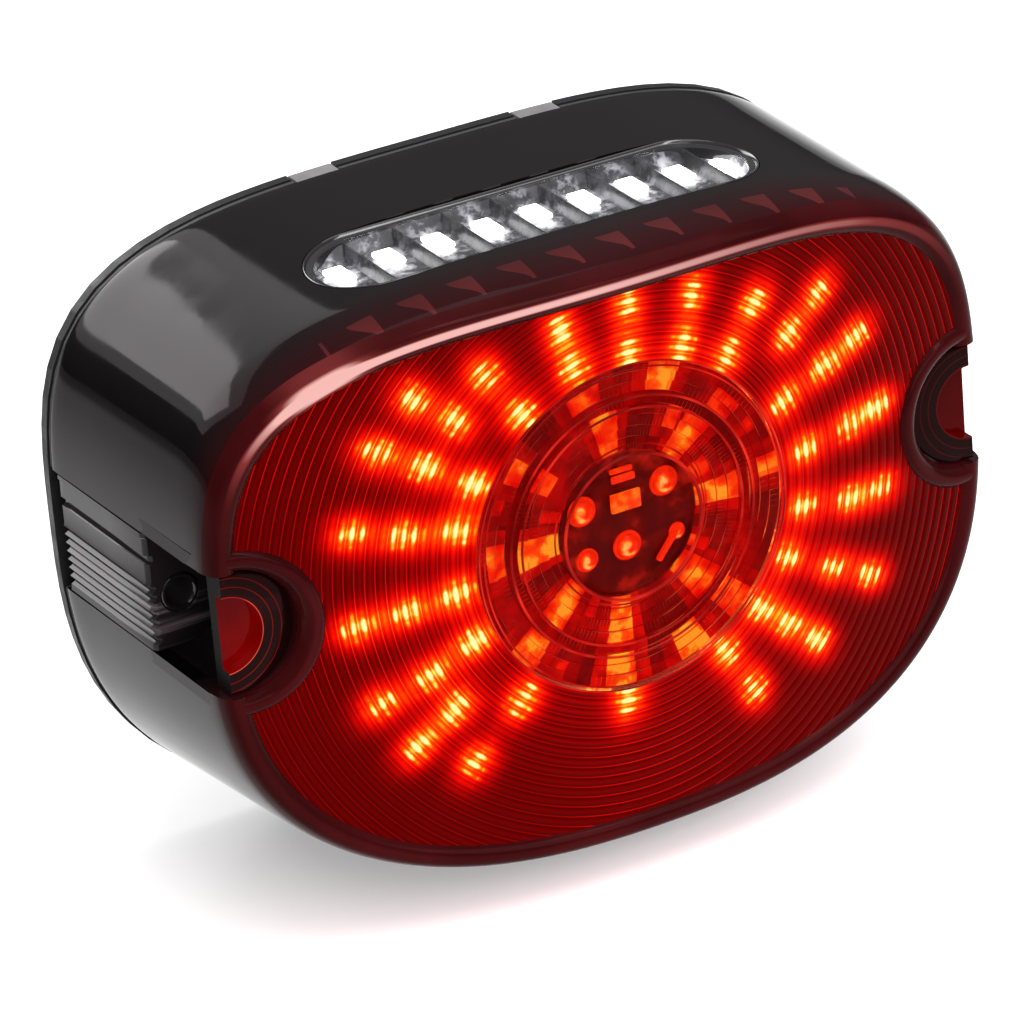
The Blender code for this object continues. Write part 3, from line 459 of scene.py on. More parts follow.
def smoked_look():
    look = Look("smoked_shell", IOR=1.46, Specular_IOR_Level=0.07, Specular_Tint=(1.0, 0.80, 0.86, 1.0))
    x, y, z = look.axes()
    dark = look.blend(look.noise(38.0, 3.0), (0.002, 0.0014, 0.0016), (0.004, 0.0028, 0.0032))
    look.set(Base_Color=look.blend(look.range(y, -44.0, -57.0), dark, (0.012, 0.001, 0.0015)))
    look.set(Roughness=look.range(look.noise(120.0, 3.0), 0.35, 0.65, 0.05, 0.09))
    look.bump(look.noise(900.0), 0.03, 0.00005)
    # Painted light: reddish lit prisms under the shoulder, one for each cell of the plate lamp
    front, back, lowest, half_row = -55.0, -50.2, 38.0, 44.0
    across = look.math("FRACT", x / LED_PITCH + 20.0)
    left = look.range(y, back, front) * 0.42 + 0.16
    inside = (across > left) * (across < 0.66) * (y < back) * (y > front) * (z > lowest) * (abs(x) < half_row)
    # Painted red glow, growing towards the bead
    painted_red_glow = look.range(y, -41.0, -57.0) * look.range(look.noise(60.0), 0.3, 0.7, 0.6, 1.0)
    stops = (0.0, 0.0, 0.0, 0.0), (0.4, 0.045, 0.004, 0.005), (1.0, 0.42, 0.07, 0.065)
    return look.glow(painted_red_glow * 0.16 + inside * 0.36, *stops)


def bead_look():
    """The rolled edge round the face: dark red, with a painted pinkish highlight along its crest, a painted
    highlight spot and a faint painted red glow.
    """
    look = Look("lens_bead", IOR=1.46, Specular_IOR_Level=0.05, Specular_Tint=(1.0, 0.30, 0.28, 1.0))
    x, _, z = look.axes()
    crest = look.attribute("crest")
    cloud = look.range(look.noise(55.0, 3.0), 0.35, 0.65, 0.5, 1.0)
    look.set(Base_Color=look.blend(cloud, (0.006, 0.0005, 0.0008), (0.020, 0.002, 0.0025)))
    look.set(Roughness=look.range(look.noise(140.0, 3.0), 0.35, 0.65, 0.10, 0.16))
    high = look.range(z, 18.0, 40.0)
    left = look.range(x, 70.0, -60.0, 0.25, 1.0)
    # Painted highlight along the crest, stronger at the top and the left
    painted_crest_highlight = look.range(crest, 0.78, 0.97) * mix(0.07, 1.25, high * left)
    # Painted highlight spot where the bead catches the main light
    near = look.range(look.length(x + BEAD_HIGHLIGHT_SPOT[0], z - BEAD_HIGHLIGHT_SPOT[1]), 13.0, 2.0)
    painted_highlight_spot = near * near * look.range(crest, 0.1, 0.9, 0.25, 1.1)
    # A faint painted red glow, brighter towards the top, under the painted highlights
    level = cloud * mix(0.35, 1.0, high) * 0.1 + painted_crest_highlight + painted_highlight_spot
    return look.glow(
        level,
        (0.0, 0.002, 0.0, 0.0), (0.1, 0.022, 0.001, 0.001), (0.45, 0.20, 0.030, 0.028),
        (1.0, 0.90, 0.50, 0.46),
    )


def face_look():
    """Dark red ridged lens over lit LEDs: each LED shows as a row of bright dashes, one on each ridge."""
    look = Look("ridged_red_lens", IOR=1.46, Specular_IOR_Level=0.02, Specular_Tint=(1.0, 0.06, 0.05, 1.0))
    look.set(Base_Color=look.blend(look.noise(90.0), (0.010, 0.0, 0.0), (0.018, 0.0005, 0.0005)))
    look.uneven(0.14, 0.22, 200.0)
    x, _, z = look.axes()
    phase = look.math("FRACT", look.length(x, z) / RIDGE_PITCH)
    peak = 1.0 - abs(phase * 2.0 - 1.0)
    dash = look.range(peak, 0.38, 0.92)
    spark = look.range(look.noise(520.0, 3.0, 0.6), 0.38, 0.62, 0.55, 1.25)
    grain = look.range(look.noise(260.0), 0.35, 0.65, 0.85, 1.1)
    thin = look.range(peak, 0.2, 0.0) * look.range(look.noise(30.0), 0.35, 0.7, 0.10, 0.26)
    dots = look.attribute("core") * mix(0.16, 1.0, dash) * spark
    halo = look.attribute("halo") * grain * mix(0.82, 1.0, dash)
    wash = look.attribute("wash") * mix(0.55, 1.0, dash)
    return look.glow(
        halo * 0.58 + dots + thin + wash,
        (0.0, 0.006, 0.0, 0.0), (0.10, 0.15, 0.0, 0.0), (0.22, 0.50, 0.0, 0.0), (0.36, 1.0, 0.004, 0.0),
        (0.55, 1.0, 0.07, 0.0), (0.75, 1.0, 0.5, 0.012), (1.0, 1.0, 1.0, 0.42),
    )


def facet_look():
    """Lit and dark facets of the stepped reflector, read from the mesh's own values."""
    look = Look("lit_reflector", IOR=1.46, Specular_IOR_Level=0.06, Specular_Tint=(1.0, 0.08, 0.06, 1.0))
    look.set(Base_Color=look.blend(look.noise(150.0), (0.05, 0.0, 0.0), (0.08, 0.004, 0.004)))
    look.uneven(0.12, 0.2, 80.0)
    return look.glow(
        look.attribute("glow") * look.range(look.noise(300.0, 3.0), 0.35, 0.65, 0.62, 1.28),
        (0.0, 0.02, 0.0, 0.0), (0.2, 0.30, 0.0, 0.0), (0.45, 0.80, 0.004, 0.0), (0.7, 1.0, 0.09, 0.003),
        (0.88, 1.0, 0.27, 0.006), (1.0, 1.0, 0.62, 0.03),
    )


def lit_look(name, noise, low, rough, *stops):
    """Dark red moulding with light in it, rougher where it is brighter."""
    look = Look(name, Base_Color=(0.03, 0.0, 0.0, 1), Specular_IOR_Level=0.05)
    level = look.range(look.noise(*noise), low, 0.7)
    look.set(Roughness=look.range(level, 0.0, 1.0, 0.2, rough))
    return look.glow(level, *stops)


def dome_look():
    look = Look("lit_dome", Base_Color=(0.2, 0.01, 0.0, 1), Specular_IOR_Level=0.12)
    level = look.attribute("hot") * look.range(look.noise(900.0), 0.35, 0.65, 0.7, 1.15)
    look.set(Roughness=look.range(level, 0.0, 1.0, 0.08, 0.2))
    return look.glow(
        level,
        (0.0, 0.30, 0.002, 0.0), (0.4, 0.95, 0.03, 0.0), (0.7, 1.0, 0.3, 0.01), (1.0, 1.0, 0.85, 0.2),
    )


def tray_look():
    look = Look("cell_tray", Metallic=0.2, Specular_IOR_Level=0.2)
    streak = look.range(look.noise(420.0, 3.0, 0.65), 0.4, 0.62)
    look.set(Base_Color=look.blend(streak, (0.008, 0.008, 0.009), (0.035, 0.032, 0.035)))
    look.uneven(0.14, 0.28, 150.0)
    return look.glow(
        look.attribute("glow") * mix(0.55, 1.35, streak),
        (0.0, 0.004, 0.004, 0.005), (0.35, 0.06, 0.06, 0.065), (0.7, 0.45, 0.45, 0.48),
        (1.0, 1.0, 1.0, 1.0),
    )


def shelf_look():
    """Dark glossy moulding whose half-round recess is lit red, with thin lit arcs round it."""
    look = Look("lit_shelf", IOR=1.46, Specular_IOR_Level=0.06, Specular_Tint=(1.0, 0.4, 0.4, 1.0))
    x, y, z = look.axes()
    away = look.length(abs(x) - SHELF_EDGE, z - POCKET_Z)
    front = y < -SHELF_FLOOR + 0.3
    floor = front * (away < RECESS_RADIUS + 0.05)
    level = floor * look.range(z, -7.5, 5.5, 1.0, 0.5) * look.range(look.noise(160.0), 0.3, 0.7, 0.26, 0.42)
    for radius, width, power in ((RECESS_RADIUS + 0.15, 0.16, 0.95), (7.6, 0.12, 0.55), (9.0, 0.14, 0.45)):
        patchy = look.range(look.noise(90.0), 0.35, 0.65, 0.4 * power, power)
        level = look.math("MAXIMUM", level, front * look.range(abs(away - radius), width, 0.0) * patchy)
    look.set(Base_Color=look.blend(floor, (0.003, 0.001, 0.001), (0.016, 0.0, 0.0)))
    look.uneven(0.06, 0.12, 90.0)
    return look.glow(
        level * look.range(x, 20.0, -20.0, 0.35, 1.0),
        (0.0, 0.002, 0.0, 0.0), (0.45, 0.20, 0.001, 0.001), (0.75, 0.55, 0.02, 0.012),
        (1.0, 1.0, 0.22, 0.12),
    )


def clear_look(name, tint, through, weight, shine=0.5):
    """Clear or tinted moulding: what is behind it shows, and its surface mirrors the lights."""
    look = Look(name, IOR=1.5, Specular_IOR_Level=shine)
    look.set(Base_Color=look.blend(look.noise(70.0), tint, tuple(0.85 * v for v in tint)))
    look.uneven(0.03, 0.07, 150.0)
    look.bump(look.noise(500.0), 0.04, 0.00005)
    clear = look.node("ShaderNodeBsdfTransparent")
    clear.inputs[0].default_value = (*through, 1)
    mixed = look.node("ShaderNodeMixShader")
    mixed.inputs[0].default_value = weight
    look.tree.links.new(clear.outputs[0], mixed.inputs[1])
    look.tree.links.new(look.shader.outputs[0], mixed.inputs[2])
    look.tree.links.new(mixed.outputs[0], look.tree.nodes["Material Output"].inputs[0])
    return look.material


def block_look():
    """Clear ribbed moulding over a dark pocket: painted pale reflection streaks along the ribs and a few
    painted glints above them.
    """
    look = Look("block_clear", IOR=1.5, Specular_IOR_Level=0.12)
    z = look.axes()[2]
    # Painted reflection streaks along the lower ribs
    painted_rib_streaks = look.range(z, -0.5, -2.0) * look.range(look.streaks((22.0, 3.0, 900.0)), 0.5, 0.72)
    # Painted glints on the upper part
    painted_glint = look.range(z, 1.0, 2.5) * look.range(look.streaks((60.0, 260.0, 60.0)), 0.64, 0.74)
    stops = (0.0, 0.012, 0.009, 0.010), (0.5, 0.07, 0.055, 0.06), (1.0, 0.50, 0.42, 0.45)
    look.set(Base_Color=look.ramp(painted_rib_streaks * 0.55 + painted_glint * 0.6, *stops))
    look.uneven(0.06, 0.12, 150.0)
    look.bump(look.noise(500.0), 0.04, 0.00005)
    return look.material


def led_look(name, first, last, strength):
    look = Look(name)
    level = look.range(look.noise(700.0), 0.35, 0.65)
    stops = (0.0, *first), (1.0, *last)
    look.set(Base_Color=look.ramp(level, *stops), Roughness=look.range(level, 0.0, 1.0, 0.25, 0.4))
    return look.glow(level, *stops, strength=strength)


def floor_look():
    look = Look("floor", IOR=1.35, Specular_IOR_Level=0.35)
    look.set(Base_Color=look.blend(look.noise(3.0), (0.93, 0.93, 0.93), (0.95, 0.95, 0.95)))
    look.uneven(0.2, 0.26, 5.0)
    return look.material


GLOSS_BLACK = (0.006, 0.005, 0.006), (0.012, 0.010, 0.011)
black_gloss = plain_look("black_gloss", *GLOSS_BLACK, 60.0, 0.12, 0.05, IOR=1.46)
SATIN_BLACK = (0.008, 0.008, 0.009), (0.015, 0.015, 0.016)
black_plastic = plain_look("black_plastic", *SATIN_BLACK, 900.0, 0.42, bump=0.25, IOR=1.2)
DULL_BLACK = (0.0015, 0.001, 0.001), (0.004, 0.003, 0.003)
dull_black = plain_look("dull_black", *DULL_BLACK, 200.0, 0.3, 0.05, IOR=1.04)
RUBBER_BLACK = (0.008, 0.008, 0.008), (0.016, 0.015, 0.015)
black_rubber = plain_look("black_rubber", *RUBBER_BLACK, 700.0, 0.7, 0.1, bump=0.3)
board_white = plain_look("board_white", (0.62, 0.62, 0.58), (0.75, 0.75, 0.72), 200.0, 0.45)
BRIGHT_GREY = (0.62, 0.62, 0.64), (0.78, 0.78, 0.8)
bright_metal = plain_look("bright_metal", *BRIGHT_GREY, 260.0, 0.16, 0.06, Metallic=1.0)
zinc = plain_look("zinc", (0.45, 0.45, 0.46), (0.62, 0.62, 0.62), 500.0, 0.3, Metallic=1.0)
gold = plain_look("gold", (0.75, 0.52, 0.2), (0.85, 0.65, 0.3), 500.0, 0.22, 0.06, Metallic=1.0)
epoxy = plain_look("epoxy", (0.012, 0.012, 0.014), (0.024, 0.024, 0.028), 600.0, 0.4, bump=0.15)
tab_clear = plain_look("tab_clear", (0.10, 0.095, 0.10), (0.20, 0.19, 0.195), 240.0, 0.3, 0.05, IOR=1.2)
red_led = led_look("red_led", (1.0, 0.10, 0.01), (1.0, 0.5, 0.08), 1.0)
white_led = led_look("white_led", (0.94, 0.97, 1.0), (1.0, 0.99, 0.96), 9.0)
smoked = smoked_look()
bead = bead_look()
red_face = face_look()
lit_reflector = facet_look()
lit_edge = lit_look(
    "lit_edge", (90.0,), 0.3, 0.3, (0.0, 0.12, 0.0, 0.0), (0.6, 0.42, 0.006, 0.003), (1.0, 0.85, 0.03, 0.01)
)
cluster_board = lit_look(
    "cluster_board",
    (170.0, 3.0, 0.6),
    0.35,
    0.4,
    (0.0, 0.008, 0.0, 0.0), (0.6, 0.09, 0.001, 0.0), (1.0, 0.38, 0.012, 0.004),
)
lit_dome = dome_look()
cell_tray = tray_look()
lit_shelf = shelf_look()
window_clear = clear_look("window_clear", (0.02, 0.02, 0.02), (0.93, 0.93, 0.95), 0.14)
ring_clear = clear_look("ring_clear", (0.06, 0.0, 0.0), (1.0, 0.74, 0.72), 0.07, shine=0.1)
block_clear = block_look()
pale_floor = floor_look()

SLOT_LOOKS = {
    "smoked_lens": smoked,
    "red_lens": red_face,
    "clear_lens": tab_clear,
    "black_plastic": black_plastic,
    "black_rubber": black_rubber,
    "circuit_board": board_white,
    "red_led": red_led,
    "white_led": white_led,
    "chrome": bright_metal,
    "steel": zinc,
    "gold_contact": gold,
    "component": epoxy,
}


def dress_cad_nodes():
    for part in frame["record"]["subparts"]:
        node = frame["nodes"][part["node"]]
        node.data.materials.clear()
        node.data.materials.append(SLOT_LOOKS[part["material_slot"]])


# Shell

def notch_points(side, radius):
    far = side * (BACK_HALF_WIDTH + 12)
    arc = [(side * x, z) for x, z in pocket_arc(radius, 48)]
    return [(far, POCKET_Z - radius), *arc, (far, POCKET_Z + radius)]


def cutter(name, flat, low, high, axis="Y"):
    """A prism for cutting: flat holds (x, z) points for Y and (x, y) points for Z."""
    if axis == "Y":
        points = [(a, level, b) for level in (low, high) for a, b in flat]
    else:
        points = [(a, b, level) for level in (low, high) for a, b in flat]
    return turned_out(add_mesh(name, points, capped_faces(2, len(flat)), None, sharp=None))


def carve(target, *tools):
    for tool in tools:
        modifier = target.modifiers.new("cut", "BOOLEAN")
        modifier.object = tool
        modifier.operation = "DIFFERENCE"
        modifier.solver = "EXACT"
    graph = bpy.context.evaluated_depsgraph_get()
    mesh = bpy.data.meshes.new_from_object(target.evaluated_get(graph))
    target.modifiers.clear()
    target.data = mesh
    for tool in tools:
        bpy.data.objects.remove(tool)


def stadium(half_length, half_width, points=24):
    straight = half_length - half_width
    made = []
    for i in range(2 * points):
        turn = -math.pi / 2 + math.pi * (i - (i >= points)) / (points - 1)
        side = straight if i < points else -straight
        made.append((side + half_width * math.cos(turn), -WINDOW_DEPTH + half_width * math.sin(turn)))
    return made


def make_shell():
    """The smoked body with its rounded bead, from finely spaced rings."""
    columns = 480
    turns = np.arange(columns) * 2 * math.pi / columns
    # share of the depth, inset, drop of the top edge, distance in front of the face
    controls = [
        (0.055, 0.35, 0.0, 0.0), (0.075, 0.0, 0.0, 0.0), (0.25, 0.0, 0.0, 0.0), (0.50, 0.0, 0.0, 0.0),
        (0.78, 0.0, 0.02, 0.0), (0.86, 0.0, 0.10, 0.0), (0.92, 0.02, 0.34, 0.0),
        (0.96, 0.12, 0.60, 0.0), (0.985, 0.40, 0.82, 0.15), (1.0, 1.0, 0.97, 0.50),
        (1.0, 2.1, 1.0, 0.88), (1.0, 3.2, 1.0, 0.55), (1.0, 4.0, 1.0, -0.15), (1.0, LIP, 1.0, -0.9),
    ]
    inside = [(1.0, LIP, 1.0, -2.4), (0.92, WALL + 0.5, 0.4, 0), (0.8, WALL, 0, 0), (0.055, WALL, 0, 0)]
    rows = [*spline(controls, 5), *inside]
    points = []
    for share, inset, drop, rise in rows:
        x, z = outline(turns, share, inset, drop * SHOULDER_DROP)
        points += list(zip(x, share * face_y(x) - rise, z))
    shell = add_mesh("shell_skin", points, grid_faces(len(rows), columns, close_rows=True), smoked)
    turned_out(shell)
    tools = [cutter("notch", notch_points(side, POCKET_RADIUS), -DEPTH - 6, 1) for _, side in SIDES]
    tools.append(cutter("slot", stadium(WINDOW_HALF_LENGTH, WINDOW_HALF_WIDTH), TOP - 8, TOP + 4, "Z"))
    carve(shell, *tools)
    give_bead(shell, lambda x: face_y(x) * BEAD_SHARE)
    smooth(shell, 38)
    finish_piece(shell, "smoked_lens", "lens_body")


def give_bead(made, limit):
    """The bead's look in front of limit(x), and how far each point stands in front of the face."""
    made.data.materials.append(bead)
    for face in made.data.polygons:
        x, y, _ = face.center / MM
        if y < limit(x):
            face.material_index = 1
    points = points_of(made)
    set_values(made, "crest", np.clip((face_y(points[:, 0]) - points[:, 1]) / BEAD_RISE, 0, 1))


def pocket_path(radius):
    """Points (x, z) of the pocket's U with their outward normals and how far each lies from the open end."""
    ends = 9
    path = [(None, radius, (0.0, 1.0), i / ends) for i in range(ends)]
    for turn in math.pi / 2 + math.pi * np.arange(41) / 40:
        normal = math.cos(turn), math.sin(turn)
        path.append((POCKET_CENTRE + radius * normal[0], radius * normal[1], normal, 1.0))
    path += [(None, -radius, (0.0, -1.0), (ends - 1 - i) / ends) for i in range(ends)]
    return path


def make_pocket_wall(word, side):
    """The wall round the screw pocket, with a fat rolled rim on the face."""
    outer = [(0.0, 8.0), (0.0, 1.6), (0.25, 0.35), (0.9, -0.55)]
    rim = spline([*outer, (1.8, -0.88), (2.8, -0.6), (3.45, 0.3), (3.6, 1.6)], 4)
    profile = [(0.0, None)] + [tuple(p) for p in rim] + [(2.2, 4.0), (2.2, None)]
    path = pocket_path(POCKET_RADIUS)
    points = []
    for x, z, normal, share_in in path:
        for offset, depth in profile:
            height = POCKET_Z + z + normal[1] * offset
            if x is None:
                near_front = depth is not None and depth < 2.0
                y = -REAR_EDGE if depth is None else face_y(FRONT_HALF_WIDTH - 2) + depth
                rounding = 1.6 - 0.5 * max(depth, -0.6) if near_front else 0.0
                outer = wall_x(height, -y / DEPTH) - 0.15 - rounding
                place = mix(outer, POCKET_CENTRE, share_in)
            else:
                place = x + normal[0] * offset
            y = -REAR_EDGE if depth is None else face_y(place) + depth
            points.append((side * place, y, height))
    wall = add_mesh(f"pocket_wall_{word}", points, capped_faces(len(path), len(profile)), smoked, sharp=50)
    give_bead(wall, lambda x: face_y(x) + 1.4)
    finish_piece(wall, "smoked_lens")


# Ridged face

def face_reach(turns):
    """Distance from the centre to the face's edge in each direction."""
    dense = np.linspace(0, 2 * math.pi, 4000, endpoint=False)
    x, z = outline(dense, 1.0, LIP - 0.5, SHOULDER_DROP)
    angle = np.arctan2(z, x) % (2 * math.pi)
    order = np.argsort(angle)
    reach = np.interp(turns % (2 * math.pi), angle[order], np.hypot(x, z)[order], period=2 * math.pi)
    for side in (-1, 1):
        cx, cz, r = side * POCKET_CENTRE, POCKET_Z, POCKET_RADIUS + 2.6
        along = cx * np.cos(turns) + cz * np.sin(turns)
        room = r * r - (cx * cx + cz * cz - along ** 2)
        hit = along - np.sqrt(np.maximum(room, 0))
        reach = np.where((room > 0) & (along > 0), np.minimum(reach, hit), reach)
    return reach


def led_light(x, z):
    """(core, halo, wash) at points of the face: bright streaks, their glow and the glow of the whole."""
    draw = random.Random(7)
    core = np.zeros_like(x)
    halo = np.zeros_like(x)
    for direction, *places in LED_ROWS:
        turn = math.radians(direction)
        along_x, along_z = math.cos(turn), math.sin(turn)
        for place in places:
            power = draw.uniform(0.78, 1.08)
            lean = draw.uniform(-0.5, 0.5)
            along = x * along_x + z * along_z - place
            across = z * along_x - x * along_z - lean
            reach = draw.uniform(2.0, 2.7)
            long_falloff = np.exp(-np.abs(along / reach) ** 4)
            core = np.maximum(core, 1.15 * power * long_falloff * np.exp(-((across / 0.95) ** 2)))
            for offset in (-1.9, 1.9):
                faint = draw.uniform(0.12, 0.5)
                shift = draw.uniform(-1.2, 1.2)
                far = ((along - shift) / 1.7) ** 2 + ((across - offset) / 0.5) ** 2
                core = np.maximum(core, faint * np.exp(-far))
            halo += np.exp(-((along / 4.0) ** 2)) * np.exp(-((across / 3.2) ** 2))
    away = np.hypot(x, z) - OUTER_RING_RADIUS
    wash = 0.06 + 0.12 * np.exp(-np.maximum(away, 0) / 16.0) - 0.025 * np.clip(x / FRONT_HALF_WIDTH, 0, 1)
    return core, np.minimum(halo, 1.25), wash


def make_face():
    columns = 600
    turns = np.arange(columns) * 2 * math.pi / columns
    reach = face_reach(turns)
    step = RIDGE_PITCH / 7
    first = OUTER_RING_RADIUS + 0.1
    rings = int((reach.max() - first) / step) + 2
    radii = first + step * np.arange(rings)
    radius = np.minimum(radii[:, None], reach[None, :])
    x = radius * np.cos(turns)[None, :]
    z = radius * np.sin(turns)[None, :]
    phase = (radius / RIDGE_PITCH) % 1
    ridge = RIDGE_HEIGHT * np.sin(math.pi * phase) ** 0.8
    y = face_y(x) - ridge + 0.1
    points = np.stack([x, y, z], -1).reshape(-1, 3)
    face = add_mesh("ridged_face", points, grid_faces(rings, columns), red_face)
    bm = bmesh.new()
    bm.from_mesh(face.data)
    bmesh.ops.remove_doubles(bm, verts=bm.verts, dist=0.02 * MM)
    bmesh.ops.dissolve_degenerate(bm, edges=bm.edges, dist=0.01 * MM)
    bmesh.ops.recalc_face_normals(bm, faces=bm.faces)
    if sum(f.normal.y * f.calc_area() for f in bm.faces) > 0:
        bmesh.ops.reverse_faces(bm, faces=bm.faces)
    bm.to_mesh(face.data)
    bm.free()
    face.data.shade_smooth()
    points = points_of(face)
    for name, values in zip(("core", "halo", "wash"), led_light(points[:, 0], points[:, 2])):
        set_values(face, name, values)
    finish_piece(face, "red_lens", "lens_face", turn=False)


# Centre lens

def make_reflector():
    """Terraces of flat facets behind the centre rings. Facets near an LED are lit."""
    draw = random.Random(11)
    # inner radius, outer radius, distance behind the front
    terraces = [(11.4, 13.4, 2.2), (13.5, 15.1, 2.0), (15.2, 16.9, 1.8), (17.0, 18.7, 1.6)]
    terraces += [(18.8, 20.3, 1.2), (20.7, 22.2, 1.7), (22.3, 23.8, 1.5), (23.9, 25.6, 1.3)]
    columns = 180
    points, glow = [], []
    for row, (inner, outer, back) in enumerate(terraces):
        for j in range(columns):
            first = 2 * math.pi * j / columns
            last = 2 * math.pi * (j + 1) / columns
            lit = facet_level(math.degrees((first + last) / 2), (inner + outer) / 2, draw, row)
            tilt = 0.25 * math.sin(9 * first + row)
            quads = [((inner, back + tilt), (outer, back), lit)]
            if row + 1 < len(terraces):
                following, _, depth = terraces[row + 1]
                quads.append(((outer, back), (following, depth), 0.06 + 0.5 * lit))
            for near, far, level in quads:
                for (radius, y), turn in ((near, first), (far, first), (far, last), (near, last)):
                    points.append((radius * math.cos(turn), -DEPTH + y, radius * math.sin(turn)))
                glow.append(level)
    faces = [tuple(range(i, i + 4)) for i in range(0, len(points), 4)]
    cup = add_mesh("stepped_reflector", points, faces, lit_reflector, sharp=None)
    set_values(cup, "glow", glow, "FACE")
    finish_piece(cup, "chrome", "reflector_ring")


def facet_level(angle, radius, draw, row):
    base = 0.05 + 0.09 * math.sin(math.radians(3 * angle + 40 * row)) + 0.07 * draw.random()
    level = max(base, 0.02)
    for direction, half, inner, outer, power in FACETS:
        gap = abs((angle - direction + 180) % 360 - 180)
        if gap < half and inner <= radius <= outer:
            level = max(level, power * (1.0 + 0.12 * math.cos(math.pi * gap / half)) - 0.05 * (row % 2))
        elif gap < half + 6 and inner - 1 <= radius <= outer + 1:
            level = max(level, 0.30 * power)
    return level


def make_centre_rings():
    """Clear rings over the reflector, with raised edges that catch the light."""
    y, edge = -DEPTH, CENTRE_RADIUS
    inner = [(edge + 0.3, 0.7), (edge + 0.3, -0.1), (edge + 0.7, -0.35), (edge + 1.3, -0.1)]
    inner += [(edge + 1.6, 0.3), (15.2, 0.5), (18.3, 0.25), (18.7, -0.15)]
    inner += [(19.3, -0.25), (19.8, 0.1), (20.1, 0.7), (15.2, 1.0)]
    outer = [(20.3, 0.7), (20.4, -0.1), (20.9, -0.4), (21.5, -0.1), (22.9, -0.5), (24.4, -0.2)]
    outer += [(24.9, -0.45), (25.4, -0.15), (25.6, 0.7), (22.9, 1.0)]
    for word, profile in (("inner", inner), ("outer", outer)):
        ring = lathe(f"centre_ring_{word}", [(radius, y + back) for radius, back in profile], ring_clear)
        finish_piece(ring, "red_lens", f"centre_{word}_ring")
    dome = [(edge - 0.1, y + 0.6), (edge, y - 0.1)]
    for turn in np.arange(1, 12) / 12 * math.pi / 2:
        dome.append((edge * math.cos(turn), y - 0.1 - 1.1 * math.sin(turn)))
    dome.append((0.3, y - 1.2))
    disc = lathe("centre_disc", dome, ring_clear, closed=False, caps=(0, -1))
    finish_piece(disc, "red_lens", "centre_disc_lens")


def make_edge_lines():
    """Thin lit edges of the rings."""
    rings = []
    for radius, back, width in (
        (11.45, 0.1, 0.28), (12.6, 1.2, 0.14), (18.6, 0.2, 0.2), (20.45, 0.1, 0.2), (25.0, -0.2, 0.14),
        (25.75, -0.05, 0.14),
    ):
        profile = circle(radius, 0.0, width, 10)
        profile = [(x, -DEPTH + back + 0.6 * y) for x, y in profile]
        rings.append(lathe("edge", profile, lit_edge, segments=180))
    finish_piece(merged("ring_edges", rings), "red_lens")


def make_cluster():
    """The lit domes and small parts seen through the centre disc."""
    board_y = -DEPTH + 2.5
    rim = [(11.0, board_y), (11.2, board_y - 0.2), (11.3, board_y - 0.5), (11.6, board_y - 0.5)]
    profile = [(0.2, board_y), (6.0, board_y), *rim]
    pieces = [lathe("board", profile, cluster_board, segments=96, closed=False, caps=(0,))]
    for x, z, radius in DOMES:
        crown = board_y - 0.3
        rise = 0.55 * radius
        profile = [(radius * 1.25, board_y - 0.05), (radius * 1.2, board_y - 0.25), (radius, crown)]
        for turn in np.arange(1, 10) / 10 * math.pi / 2:
            profile.append((radius * math.cos(turn), crown - rise * math.sin(turn)))
        profile.append((0.1, crown - rise))
        x, z = x + SINK[0], z + SINK[1]
        dome = lathe("dome", profile, lit_dome, segments=40, closed=False, caps=(0, -1), centre=(x, z))
        set_hot(dome, x, z, radius)
        pieces.append(dome)
    # left and right side, bottom and top, height over the board, brightness
    chips = (-2.5, 2.5, 2.0, 5.0, 0.8, 0.62), (-2.1, 1.9, 6.6, 7.8, 0.6, 0.4), (-2.3, 1.5, 8.2, 9.0, 0.7, 0.4)
    for left, right, bottom, top, height, hot in chips:
        low, high = (left, board_y - height, bottom), (right, board_y - 0.1, top)
        chip = rounded_box("chip", low, high, lit_dome, 0.25)
        set_values(chip, "hot", np.full(len(chip.data.vertices), hot))
        pieces.append(chip)
    rod = rounded_box("rod", (-0.5, board_y - 0.9, -3.2), (0.5, board_y - 0.1, 3.2), lit_dome, 0.3)
    rod.data.transform(Matrix.Rotation(math.radians(40), 4, "Y"))
    rod.data.transform(Matrix.Translation((6.7 * MM, 0, -5.2 * MM)))
    set_values(rod, "hot", np.full(len(rod.data.vertices), 0.3))
    pieces.append(rod)
    finish_piece(merged("centre_cluster", pieces), "red_led", "centre_led_cluster")


def set_hot(dome, x, z, radius):
    """The glow of a lit dome, with painted highlights on it: a bright crescent and a spot."""
    points = points_of(dome)
    dx, dz = points[:, 0] - x, points[:, 2] - z
    # Painted highlights: a spot towards the upper left and a crescent
    painted_highlight_spot = np.exp(-((dx + 0.3 * radius) ** 2 + (dz - 0.3 * radius) ** 2) / (0.35 * radius) ** 2)
    ring = np.exp(-(((np.hypot(dx, dz) - 0.6 * radius) / (0.22 * radius)) ** 2))
    painted_highlight_crescent = ring * np.maximum(0.0, -np.sin(np.arctan2(dz, dx) + 0.5))
    set_values(dome, "hot", np.minimum(1.0, 0.22 + 1.2 * painted_highlight_spot + 1.0 * painted_highlight_crescent))


# Plate lamp

